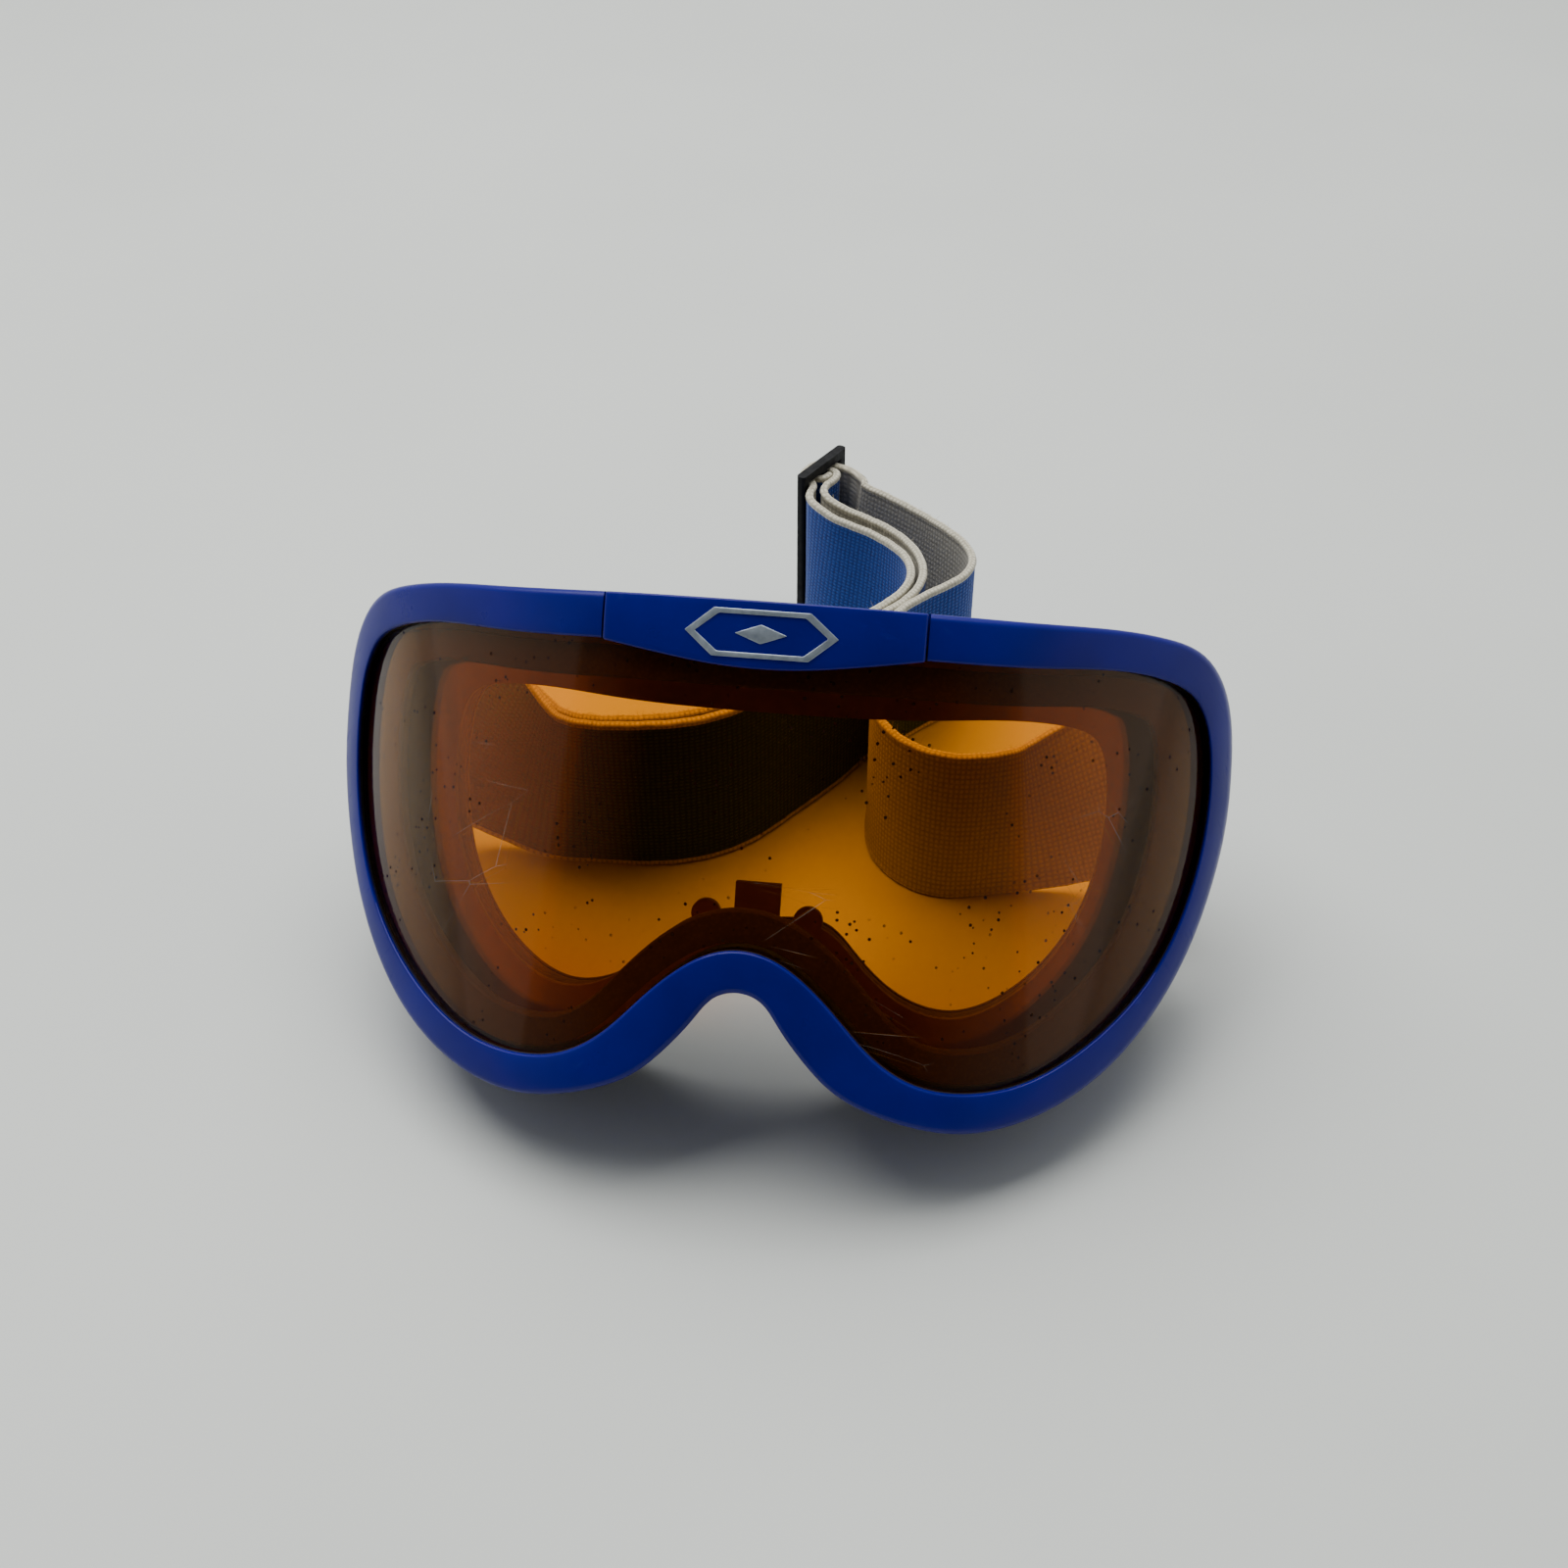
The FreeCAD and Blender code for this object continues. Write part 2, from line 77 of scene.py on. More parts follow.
LIP_RADIUS, FACE_RADIUS = 110.0, 118.0
SHELL_DEPTH, LIP_THICKNESS, GASKET_DEPTH, LEDGE_DEPTH = 24.0, 1.0, 8.5, 10.6
GASKET_WIDTH, WALL = 2.6, 2.4
STEPS = 24
SMOOTH = 42.0
RIM = [
    (0, -37.2), (4, -38.4), (7.4, -42.4), (12.5, -48.7), (18, -53.8), (25, -57.4), (33, -59.8),
    (41, -60.8), (49, -59.8), (58, -56.4), (67, -50.3), (76, -40), (82, -29), (86, -17),
    (88.2, -5), (88.3, 7), (87.2, 16), (84.6, 23), (80, 28), (72, 30.6), (50, 31.6), (25, 31.9),
    (0, 32),
]
OPENING = [
    (0, -29.6), (5, -30.5), (10.5, -33.6), (17.5, -40), (24.5, -47.2), (32.5, -52), (41.7, -53.4),
    (52, -51.6), (61, -46.8), (69, -40), (76, -30.8), (81, -18.6), (83.4, -5), (83.3, 7),
    (81.8, 14.5), (78.5, 20), (72, 23), (50, 23.7), (25, 23.7), (0, 23.7),
]


def mirrored_loop(half):
    right = np.array(half, float)
    left = right[::-1][right[::-1, 0] > 0] * (-1, 1)
    return np.vstack([right, left])


def smooth_line(knots, closed=False, steps=STEPS):
    """Points on a smooth line through the knots, the same number to every span."""
    knots = np.asarray(knots, float)
    n = len(knots)
    ends = np.vstack([knots, knots[:1]]) if closed else knots
    gaps = np.linalg.norm(np.diff(ends[:, :3], axis=0), axis=1)
    system, target = np.zeros((n, n)), np.zeros(knots.shape)
    for i in range(n):
        if not closed and i in (0, n - 1):
            near, gap, way = (1, gaps[0], 1) if i == 0 else (n - 2, gaps[-1], -1)
            system[i, i], system[i, near] = 2, 1
            target[i] = 3 * way * (knots[near] - knots[i]) / gap
            continue
        back, ahead = gaps[i - 1], gaps[i]
        left, right = (i - 1) % n, (i + 1) % n
        system[i, left] += ahead
        system[i, i] += 2 * (back + ahead)
        system[i, right] += back
        target[i] = 3 * (ahead * (knots[i] - knots[left]) / back
                         + back * (knots[right] - knots[i]) / ahead)
    slopes = np.linalg.solve(system, target)
    line = []
    for i in range(len(gaps)):
        j = (i + 1) % n
        for t in np.arange(steps) / steps:
            line.append((2 * t**3 - 3 * t**2 + 1) * knots[i] + (3 * t**2 - 2 * t**3) * knots[j]
                        + gaps[i] * ((t**3 - 2 * t**2 + t) * slopes[i] + (t**3 - t**2) * slopes[j]))
    if not closed:
        line.append(knots[-1])
    return np.array(line)


def spaced(line, count, closed=False):
    """The line again with evenly spaced points."""
    if closed:
        line = np.vstack([line, line[:1]])
    lengths = np.linalg.norm(np.diff(line[:, :3], axis=0), axis=1)
    along = np.concatenate([[0], np.cumsum(lengths)])
    wanted = np.linspace(0, along[-1], count, endpoint=not closed)
    return np.stack([np.interp(wanted, along, line[:, k]) for k in range(line.shape[1])], 1)


def outwards(loop):
    run = np.roll(loop, -1, 0) - np.roll(loop, 1, 0)
    run /= np.linalg.norm(run, axis=1)[:, None]
    return np.stack([run[:, 1], -run[:, 0]], 1)


def room_outside(loop, ways, outline):
    """How far each point of the loop can go its way before it meets the outline."""
    start, side = outline, np.roll(outline, -1, 0) - outline
    room = np.full(len(loop), 1e9)
    for i, (point, way) in enumerate(zip(loop, ways)):
        cross = way[0] * side[:, 1] - way[1] * side[:, 0]
        off = start - point
        reach = (off[:, 0] * side[:, 1] - off[:, 1] * side[:, 0]) / cross
        place = (off[:, 0] * way[1] - off[:, 1] * way[0]) / cross
        hits = reach[(place >= 0) & (place <= 1) & (reach > 0.2)]
        room[i] = hits.min()
    return room


def lip_y(x, depth):
    return LIP_RADIUS - np.sqrt((LIP_RADIUS - depth) ** 2 - x**2)


def face_y(x, offset):
    return offset + FACE_RADIUS - np.sqrt(FACE_RADIUS**2 - x**2)


def lip_ring(plan, depth):
    return np.stack([plan[:, 0], lip_y(plan[:, 0], depth), plan[:, 1]], 1)


def face_ring(plan, offset):
    return np.stack([plan[:, 0], face_y(plan[:, 0], offset), plan[:, 1]], 1)


def between(first, last, steps):
    return [first + (last - first) * k / steps for k in range(1, steps)]


def shaded(mesh, smooth):
    """Shades the mesh smooth, but for edges sharper than the angle."""
    mesh.shade_smooth()
    mesh.set_sharp_from_angle(angle=math.radians(smooth))


def shown(name, mesh, smooth):
    """A piece of the object from the mesh, with its faces turned outwards and shaded."""
    turned = bmesh.new()
    turned.from_mesh(mesh)
    bmesh.ops.recalc_face_normals(turned, faces=turned.faces)
    turned.to_mesh(mesh)
    turned.free()
    shaded(mesh, smooth)
    piece = bpy.data.objects.new(name, mesh)
    bpy.context.scene.collection.objects.link(piece)
    return piece


def made(name, points, faces, smooth=SMOOTH):
    """A piece from its points and faces."""
    mesh = bpy.data.meshes.new(name)
    mesh.from_pydata([tuple(p) for p in points], [], faces)
    return shown(name, mesh, smooth)


def skinned(name, rings, closed_ring=True, smooth=SMOOTH):
    """A skin from each ring to the next, and shut ends where the rings aren't closed."""
    rings = np.array(rings)
    rows, count = rings.shape[:2]
    faces = []
    for j in range(rows):
        for i in range(count if closed_ring else count - 1):
            a, b = j * count, ((j + 1) % rows) * count
            k = (i + 1) % count
            faces.append((a + i, a + k, b + k, b + i))
    if not closed_ring:
        faces.append(tuple(j * count for j in range(rows)))
        faces.append(tuple(j * count + count - 1 for j in range(rows)))
    return made(name, rings.reshape(-1, 3), faces, smooth)


def settled(piece, smooth=SMOOTH):
    """Makes the piece's modifiers part of its mesh."""
    graph = bpy.context.evaluated_depsgraph_get()
    mesh = bpy.data.meshes.new_from_object(piece.evaluated_get(graph))
    piece.modifiers.clear()
    piece.data = mesh
    shaded(mesh, smooth)


def combined(piece, other, how):
    """Cuts the other piece out of the piece, or joins it on, and drops the other."""
    step = piece.modifiers.new(how, "BOOLEAN")
    step.operation = how
    step.solver = "EXACT"
    step.object = other
    settled(piece)
    bpy.data.objects.remove(other)


def pillar(outline, low, high):
    """Points and faces of an upright block over a plan outline."""
    n = len(outline)
    points = [(x, y, low) for x, y in outline] + [(x, y, high) for x, y in outline]
    faces = [tuple(range(n)), tuple(range(n, 2 * n))]
    faces += [(i, (i + 1) % n, n + (i + 1) % n, n + i) for i in range(n)]
    return points, faces


def gathered(name, blocks):
    points, faces = [], []
    for more, sides in blocks:
        faces += [tuple(k + len(points) for k in side) for side in sides]
        points += more
    return made(name, points, faces)


def rounded_plan(x, y, half_x, half_y, corner):
    plan = []
    for quarter in range(4):
        sx, sy = ((1, 1), (-1, 1), (-1, -1), (1, -1))[quarter]
        for step in range(5):
            turn = math.radians(90 * quarter + 22.5 * step)
            plan.append((x + sx * (half_x - corner) + corner * math.cos(turn),
                         y + sy * (half_y - corner) + corner * math.sin(turn)))
    return plan


opening = spaced(smooth_line(mirrored_loop(OPENING), True), 480, True)
rim = smooth_line(mirrored_loop(RIM), True)
out = outwards(opening)
width = room_outside(opening, out, rim)
OUTER_ROUND, INNER_ROUND, CROWN = 1.3, 0.5, 0.1


def ring_at(distance, depth):
    """Round the opening, moved out by the distance, at the depth behind the lip's surface."""
    distance = np.broadcast_to(distance, width.shape)
    return lip_ring(opening + out * distance[:, None], depth)


def back_ring(distance, offset=SHELL_DEPTH):
    return face_ring(opening + out * np.broadcast_to(distance, width.shape)[:, None], offset)


profile = []
for turn in np.radians(np.linspace(0, 90, 5)):
    profile.append(ring_at(INNER_ROUND * (1 - np.cos(turn)), INNER_ROUND * (1 - np.sin(turn))))
flat = width - OUTER_ROUND - INNER_ROUND
for share in (0.2, 0.4, 0.6, 0.8):
    profile.append(ring_at(INNER_ROUND + flat * share, -CROWN * 4 * share * (1 - share)))
for turn in np.radians(np.linspace(0, 90, 7)):
    profile.append(ring_at(width - OUTER_ROUND * (1 - np.sin(turn)),
                           OUTER_ROUND * (1 - np.cos(turn))))
front_edge, back_edge = profile[-1], back_ring(width)
profile += between(front_edge, back_edge, 10)
profile += [back_ring(width), back_ring(width - WALL)]
profile += between(back_ring(width - WALL), ring_at(width - WALL, LEDGE_DEPTH), 4)
profile += [ring_at(width - WALL, LEDGE_DEPTH), ring_at(0, LEDGE_DEPTH), ring_at(0, GASKET_DEPTH)]
profile += [ring_at(GASKET_WIDTH, GASKET_DEPTH), ring_at(GASKET_WIDTH, LIP_THICKNESS)]
profile += [ring_at(0, LIP_THICKNESS)]
frame_moulding = skinned("frame_moulding", profile)


def vent_y(x):
    return (lip_y(x, LEDGE_DEPTH) + face_y(x, SHELL_DEPTH)) / 2


UPPER_VENTS = ((8, 24, 40, 56), (5.5, 3, 1.4), (25, 45))
LOWER_VENTS = ((31, 42, 53), (3.5, 2.5, 1.2), (-75, -50))
slots = []
for places, size, heights in (UPPER_VENTS, LOWER_VENTS):
    for x in places:
        for side in (-1, 1):
            slots.append(pillar(rounded_plan(side * x, vent_y(x), *size), *heights))
vent_cutter = gathered("vent_cutter", slots)
combined(frame_moulding, vent_cutter, "DIFFERENCE")

EAR_INNER, EAR_OUTER, EAR_RADIUS, EAR_ROOT = 20.0, 24.4, 2.6, 56
ears = []
for side in (-1, 1):
    for low in (EAR_INNER, -EAR_OUTER):
        ear = [(side * (PIVOT_X + EAR_RADIUS), EAR_ROOT),
               (side * (PIVOT_X - EAR_RADIUS), EAR_ROOT)]
        for turn in np.radians(np.linspace(180, 0, 13)):
            ear.append((side * (PIVOT_X + EAR_RADIUS * math.cos(turn)),
                        PIVOT_Y + EAR_RADIUS * math.sin(turn)))
        ears.append(pillar(ear, low, low + EAR_OUTER - EAR_INNER))
ear_blocks = gathered("ear_blocks", ears)
combined(frame_moulding, ear_blocks, "UNION")

# The brow panel's seat is cut out of the lip between the two seams.
SEAM, PANEL_THICKNESS, PANEL_GAP = 28.5, 1.4, 0.4
BROW_EDGE = [(-SEAM, 23.4), (-17, 21.6), (-8, 20.5), (8, 20.5), (17, 21.6), (SEAM, 23.4)]
IN_FRONT, ABOVE = -20, 60
brow_line = smooth_line(BROW_EDGE)


columns = np.linspace(-SEAM - PANEL_GAP, SEAM + PANEL_GAP, 40)
low = np.interp(columns, brow_line[:, 0], brow_line[:, 1]) - PANEL_GAP
depth = lip_y(columns, PANEL_THICKNESS + PANEL_GAP)
before, high = np.full(len(columns), IN_FRONT), np.full(len(columns), ABOVE)
panel_seat = skinned("panel_seat", [
    np.stack([columns, row_y, row_z], 1) for row_y, row_z in (
        (before, low), (depth, low), (depth, high), (before, high))], closed_ring=False)
combined(frame_moulding, panel_seat, "DIFFERENCE")


def node(material, kind, links=None, **settings):
    """A node in the material, with its settings, and links or values for its inputs."""
    tree = material.node_tree
    new = tree.nodes.new("ShaderNode" + kind)
    for key, value in settings.items():
        setattr(new, key, value)
    for socket, value in (links or {}).items():
        if isinstance(value, bpy.types.NodeSocket):
            tree.links.new(value, new.inputs[socket])
        else:
            new.inputs[socket].default_value = value
    return new


def finish(name, **shader):
    """A material with one shader, and the shader to link further nodes to."""
    material = bpy.data.materials.new(name)
    material.use_nodes = True
    principled = material.node_tree.nodes["Principled BSDF"]
    for key, value in shader.items():
        principled.inputs[key.replace("_", " ")].default_value = value
    return material, principled


def shades(material, factor, *stops):
    """A colour ramp through (place, colour) stops."""
    ramp = node(material, "ValToRGB", {"Fac": factor})
    elements = ramp.color_ramp.elements
    while len(elements) < len(stops):
        elements.new(0.5)
    for element, (place, colour) in zip(elements, stops):
        element.position = place
        element.color = (*colour, 1.0) if isinstance(colour, tuple) else (colour,) * 3 + (1.0,)
    return ramp.outputs["Color"]


def grain(material, scale, detail=3.0, stretch=None):
    """Noise of that scale on the piece, in features to the metre."""
    place = node(material, "TexCoord").outputs["Object"]
    if stretch:
        place = node(material, "Mapping", {"Vector": place, "Scale": stretch}).outputs["Vector"]
    noise = node(material, "TexNoise", {"Vector": place, "Scale": scale, "Detail": detail})
    return noise.outputs["Fac"]


def bumped(material, shader, height, strength, distance=0.0002, below=None):
    """Relief on the shader, over the relief below it."""
    links = {"Height": height, "Strength": strength, "Distance": distance}
    if below:
        links["Normal"] = below
    bump = node(material, "Bump", links)
    material.node_tree.links.new(bump.outputs["Normal"], shader.inputs["Normal"])
    return bump.outputs["Normal"]


def link(material, output, shader, socket):
    material.node_tree.links.new(output, shader.inputs[socket])


def mottled(material, shader, socket, scale, low, high, detail=3.0, stretch=None):
    """Lets a colour or a roughness drift between two values over the piece."""
    drift = grain(material, scale, detail, stretch)
    link(material, shades(material, drift, (0.3, low), (0.7, high)), shader, socket)


def moulded_blue(name, deep, light):
    """Satin coloured plastic: faint flow marks, fine scuffs, dust, and a painted highlight of paler
    blue along sharp edges.
    """
    material, shader = finish(name, IOR=1.3)
    flow = shades(material, grain(material, 55.0), (0.35, deep), (0.7, light))
    # Sharp edges are given a paler blue: a painted highlight.
    sharpness = node(material, "NewGeometry").outputs["Pointiness"]
    edge = shades(material, sharpness, (0.56, 0.0), (0.72, 0.6))
    scuffs = shades(material, grain(material, 300.0, 4.0, (1, 3, 0.4)), (0.62, 0.0), (0.72, 1.0))
    flow_with_edge_highlight = node(material, "MixRGB", {
        "Fac": edge, "Color1": flow, "Color2": (0.004, 0.006, 0.26, 1)})
    specks = node(material, "TexVoronoi", {
        "Vector": node(material, "TexCoord").outputs["Object"], "Scale": 190.0})
    dots = shades(material, specks.outputs["Distance"], (0.035, 1.0), (0.05, 0.0))
    sparse = shades(material, grain(material, 60.0), (0.6, 0.0), (0.64, 1.0))
    dust = node(material, "Math", {0: dots, 1: sparse}, operation="MULTIPLY").outputs[0]
    dirty = node(material, "MixRGB", {"Fac": dust, "Color1": flow_with_edge_highlight.outputs[0],
                                      "Color2": (0.004, 0.004, 0.02, 1)})
    link(material, dirty.outputs[0], shader, "Base Color")
    rough = shades(material, grain(material, 120.0, 5.0), (0.3, 0.27), (0.75, 0.38))
    scuffed = node(material, "MixRGB", {
        "Fac": scuffs, "Color1": rough, "Color2": (0.5, 0.5, 0.5, 1)})
    link(material, scuffed.outputs[0], shader, "Roughness")
    bumped(material, shader, grain(material, 1500.0, 2.0), 0.12, 0.00004)
    return material


frame_blue = moulded_blue("frame_blue", (0.0008, 0.0006, 0.155), (0.0012, 0.0012, 0.195))


def placed(piece, *materials):
    """Leans the piece back to its resting place and gives it its materials."""
    mesh = piece.data
    points = np.empty(len(mesh.vertices) * 3)
    mesh.vertices.foreach_get("co", points)
    mesh.vertices.foreach_set("co", leaned(points.reshape(-1, 3)).ravel())
    mesh.update()
    mesh.materials.clear()
    for material in materials:
        mesh.materials.append(material)


placed(frame_moulding, frame_blue)
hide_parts("frame_shell")
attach(frame_moulding, "goggles")

# ---- Brow panel and ornament ----
# A separate blue moulding clipped over the upper edge of the lens, a little proud of the lip and
# with rounded edges. Its ornament is a slim silver hexagon round a lozenge, printed in relief.

PANEL_PROUD, PANEL_SWELL, PANEL_EDGE = 0.5, 0.25, 0.4
columns = np.linspace(-SEAM, SEAM, 60)
rim_top = rim[rim[:, 1] > 20]
rim_top = rim_top[np.argsort(rim_top[:, 0])]
low = np.interp(columns, brow_line[:, 0], brow_line[:, 1])
high = np.interp(columns, rim_top[:, 0], rim_top[:, 1])
rows = []
for share in np.linspace(0, 1, 9):
    front = lip_y(columns, -PANEL_PROUD - PANEL_SWELL * math.sin(math.pi * share))
    rows.append(np.stack([columns, front, low + (high - low) * share], 1))
rows.append(np.stack([columns, lip_y(columns, PANEL_THICKNESS), high], 1))
rows.append(np.stack([columns, lip_y(columns, PANEL_THICKNESS), low], 1))
brow_moulding = skinned("brow_moulding", rows, closed_ring=False, smooth=60)
rounding = brow_moulding.modifiers.new("rounding", "BEVEL")
rounding.width = PANEL_EDGE
rounding.segments = 4
rounding.limit_method = "ANGLE"
rounding.angle_limit = math.radians(50)
settled(brow_moulding, 60)
brow_blue = moulded_blue("brow_blue", (0.0008, 0.0006, 0.165), (0.0012, 0.0012, 0.205))
placed(brow_moulding, brow_blue)
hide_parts("brow_panel")
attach(brow_moulding, "goggles")


def eased(cad_node, width_mm, material):
    """A hard CAD piece with its edges eased and its own finish."""
    piece = frame["nodes"][cad_node]
    weld = piece.modifiers.new("weld", "WELD")
    weld.merge_threshold = 0.00001
    bevel = piece.modifiers.new("eased", "BEVEL")
    bevel.width = width_mm / 1000
    bevel.segments = 3
    bevel.limit_method = "ANGLE"
    bevel.angle_limit = math.radians(38)
    piece.data.materials.clear()
    piece.data.materials.append(material)


emblem_silver, shader = finish("emblem_silver", Metallic=0.55, IOR=1.5)
mottled(emblem_silver, shader, "Base Color", 700.0, (0.28, 0.33, 0.4), (0.42, 0.48, 0.55))
mottled(emblem_silver, shader, "Roughness", 900.0, 0.3, 0.45)
bumped(emblem_silver, shader, grain(emblem_silver, 2500.0), 0.15, 0.00003)
eased("brow_emblem", 0.15, emblem_silver)

# ---- Gasket ----
# A black rubber ring in the groove behind the lip. It holds the lens unit's edge. Its near-black
# colour is partly the rubber's own and partly painted shade for the dark wall inside the lip.

gasket_rubber_and_painted_shade, shader = finish("gasket_rubber_and_painted_shade", IOR=1.5)
# Near-black: the rubber's own colour, and painted shade for the recess wall inside the lip.
mottled(gasket_rubber_and_painted_shade, shader, "Base Color", 500.0, (0.006, 0.006, 0.008), (0.014, 0.014, 0.017))
mottled(gasket_rubber_and_painted_shade, shader, "Roughness", 800.0, 0.4, 0.6)
bumped(gasket_rubber_and_painted_shade, shader, grain(gasket_rubber_and_painted_shade, 2200.0), 0.2, 0.00004)
eased("lens_gasket", 0.3, gasket_rubber_and_painted_shade)

# ---- Lens unit ----
# Two sheets curved round an upright axis with a band of foam between them: an amber outer lens
# with a few hairline scratches and specks of dust, and a clearer inner lens. Both are
# polycarbonate, and the outer one's edge sits in the gasket.

LENS_RECESS, LENS_THICKNESS, SPACER = 1.8, 0.8, 4.0
IN_GROOVE, INNER_LENS_INSET = 0.7, 1.2
LENS_HEART = np.array([0.0, 5.0])


def lens_sheet(name, edge, depth):
    """A thin curved sheet in the outline of the edge."""
    count, shells = len(edge), 28
    points, faces = [], []
    for side, level in ((0, depth), (1, depth + LENS_THICKNESS)):
        first = len(points)
        points.append((LENS_HEART[0], lip_y(LENS_HEART[0], level), LENS_HEART[1]))
        for shell in range(1, shells + 1):
            plan = LENS_HEART + (edge - LENS_HEART) * shell / shells
            points += [tuple(p) for p in lip_ring(plan, level)]
        for i in range(count):
            k = (i + 1) % count
            faces.append((first, first + 1 + i, first + 1 + k))
            for shell in range(shells - 1):
                a = first + 1 + shell * count
                faces.append((a + i, a + count + i, a + count + k, a + k))
    outer = 1 + (shells - 1) * count
    other = 1 + shells * count + outer
    for i in range(count):
        k = (i + 1) % count
        faces.append((outer + i, outer + k, other + k, other + i))
    return made(name, points, faces)


def tinted(name, tint, shine, rough):
    """A see-through sheet that tints what is behind it and mirrors more the flatter it is seen."""
    material = bpy.data.materials.new(name)
    material.use_nodes = True
    tree = material.node_tree
    tree.nodes.remove(tree.nodes["Principled BSDF"])
    facing = node(material, "LayerWeight", {"Blend": 0.5}).outputs["Facing"]
    steep = node(material, "Math", {0: facing, 1: 4.0}, operation="POWER").outputs[0]
    mirror = node(material, "Math", {0: steep, 1: 0.9, 2: shine}, operation="MULTIPLY_ADD",
                  use_clamp=True).outputs[0]
    clear = node(material, "BsdfTransparent", {"Color": tint})
    gloss = node(material, "BsdfGlossy", {"Color": (1, 1, 1, 1)})
    haze = shades(material, grain(material, 90.0, 5.0), (0.3, rough), (0.8, rough * 2.2))
    tree.links.new(haze, gloss.inputs["Roughness"])
    sheet = node(material, "MixShader", {"Fac": mirror, 1: clear.outputs[0], 2: gloss.outputs[0]})
    return material, sheet


lens_edge = opening + out * (GASKET_WIDTH - IN_GROOVE)
outer_sheet = lens_sheet("outer_lens_sheet", lens_edge[::2], LENS_RECESS)
lens_amber, sheet = tinted("lens_amber", (0.98, 0.63, 0.06, 1), 0.018, 0.05)
place = node(lens_amber, "TexCoord").outputs["Object"]
specks = node(lens_amber, "TexVoronoi", {"Vector": place, "Scale": 420.0})
dots = shades(lens_amber, specks.outputs["Distance"], (0.11, 1.0), (0.15, 0.0))
sparse = shades(lens_amber, grain(lens_amber, 75.0, 4.0), (0.5, 0.0), (0.56, 1.0))
hairs = node(lens_amber, "TexVoronoi", {
    "Vector": node(lens_amber, "Mapping", {"Vector": place, "Rotation": (0.3, 0.5, 0.9),
                                           "Scale": (0.35, 2.6, 1.0)}).outputs["Vector"],
    "Scale": 60.0}, feature="DISTANCE_TO_EDGE")
lines = shades(lens_amber, hairs.outputs["Distance"], (0.0015, 0.55), (0.004, 0.0))
few = shades(lens_amber, grain(lens_amber, 28.0), (0.6, 0.0), (0.68, 1.0))
speck_mask = node(lens_amber, "Math", {0: dots, 1: sparse}, operation="MULTIPLY").outputs[0]
hair_mask = node(lens_amber, "Math", {0: lines, 1: few}, operation="MULTIPLY").outputs[0]
speck_dark = node(lens_amber, "BsdfDiffuse", {"Color": (0.02, 0.008, 0.004, 1)})
hair_light = node(lens_amber, "BsdfDiffuse", {"Color": (0.5, 0.42, 0.33, 1)})
with_specks = node(lens_amber, "MixShader", {
    "Fac": speck_mask, 1: sheet.outputs[0], 2: speck_dark.outputs[0]})
with_hairs = node(lens_amber, "MixShader", {
    "Fac": hair_mask, 1: with_specks.outputs[0], 2: hair_light.outputs[0]})
lens_amber.node_tree.links.new(
    with_hairs.outputs[0], lens_amber.node_tree.nodes["Material Output"].inputs["Surface"])
placed(outer_sheet, lens_amber)
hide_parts("outer_lens")
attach(outer_sheet, "goggles")

inner_edge = spaced(opening - out * INNER_LENS_INSET, 240, True)
inner_sheet = lens_sheet("inner_lens_sheet", inner_edge, LENS_RECESS + LENS_THICKNESS + SPACER)
lens_clear, sheet = tinted("lens_clear", (1.0, 0.87, 0.42, 1), 0.05, 0.06)
lens_clear.node_tree.links.new(
    sheet.outputs[0], lens_clear.node_tree.nodes["Material Output"].inputs["Surface"])
placed(inner_sheet, lens_clear)
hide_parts("inner_lens")
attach(inner_sheet, "goggles")

# ---- Foams ----
# Soft polyurethane foam, cut from sheet: a dark spacer band between the lenses, thin vent foams
# behind the slots, and the thick face foam with a fleece layer bonded on where it meets the face.


def foam_finish(name, dark, light, cell, depth=0.0003, sheen=0.2):
    """Open-cell foam: rounded pores with paler walls."""
    material, shader = finish(name, Roughness=0.95, IOR=1.35)
    cells = node(material, "TexVoronoi", {
        "Vector": node(material, "TexCoord").outputs["Object"], "Scale": cell})
    link(material, shades(material, cells.outputs["Distance"], (0.05, light), (0.6, dark)),
         shader, "Base Color")
    under = bumped(material, shader, cells.outputs["Distance"], 0.7, depth)
    bumped(material, shader, grain(material, cell * 0.3), 0.4, depth, under)
    shader.inputs["Sheen Weight"].default_value = sheen
    shader.inputs["Sheen Roughness"].default_value = 0.5
    return material


SPACER_REACH, SPACER_SIDE_REACH, HAIR_GAP = 7.0, 11.0, 0.02
spacer_outside = opening - out * INNER_LENS_INSET
spacer_inside = opening - out * SPACER_REACH
half_width = spacer_inside[:, 0].max()
spacer_inside[:, 0] *= (half_width + SPACER_REACH - SPACER_SIDE_REACH) / half_width
front = LENS_RECESS + LENS_THICKNESS + HAIR_GAP
back = LENS_RECESS + LENS_THICKNESS + SPACER - HAIR_GAP
middle_line = spacer_inside * 0.94 + spacer_outside * 0.06
spacer_band = skinned("spacer_band", [
    lip_ring(spacer_outside, front), lip_ring(middle_line, front),
    lip_ring(spacer_inside, front + 0.5), lip_ring(spacer_inside, back - 0.5),
    lip_ring(middle_line, back), lip_ring(spacer_outside, back)])
spacer_foam = foam_finish("spacer_foam", (0.03, 0.029, 0.027), (0.04, 0.039, 0.036),
                          1300.0, depth=0.000003, sheen=0.0)
placed(spacer_band, spacer_foam)
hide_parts("lens_spacer_foam")
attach(spacer_band, "goggles")

vent_foam = foam_finish("vent_foam", (0.012, 0.012, 0.013), (0.05, 0.05, 0.052), 1100.0)


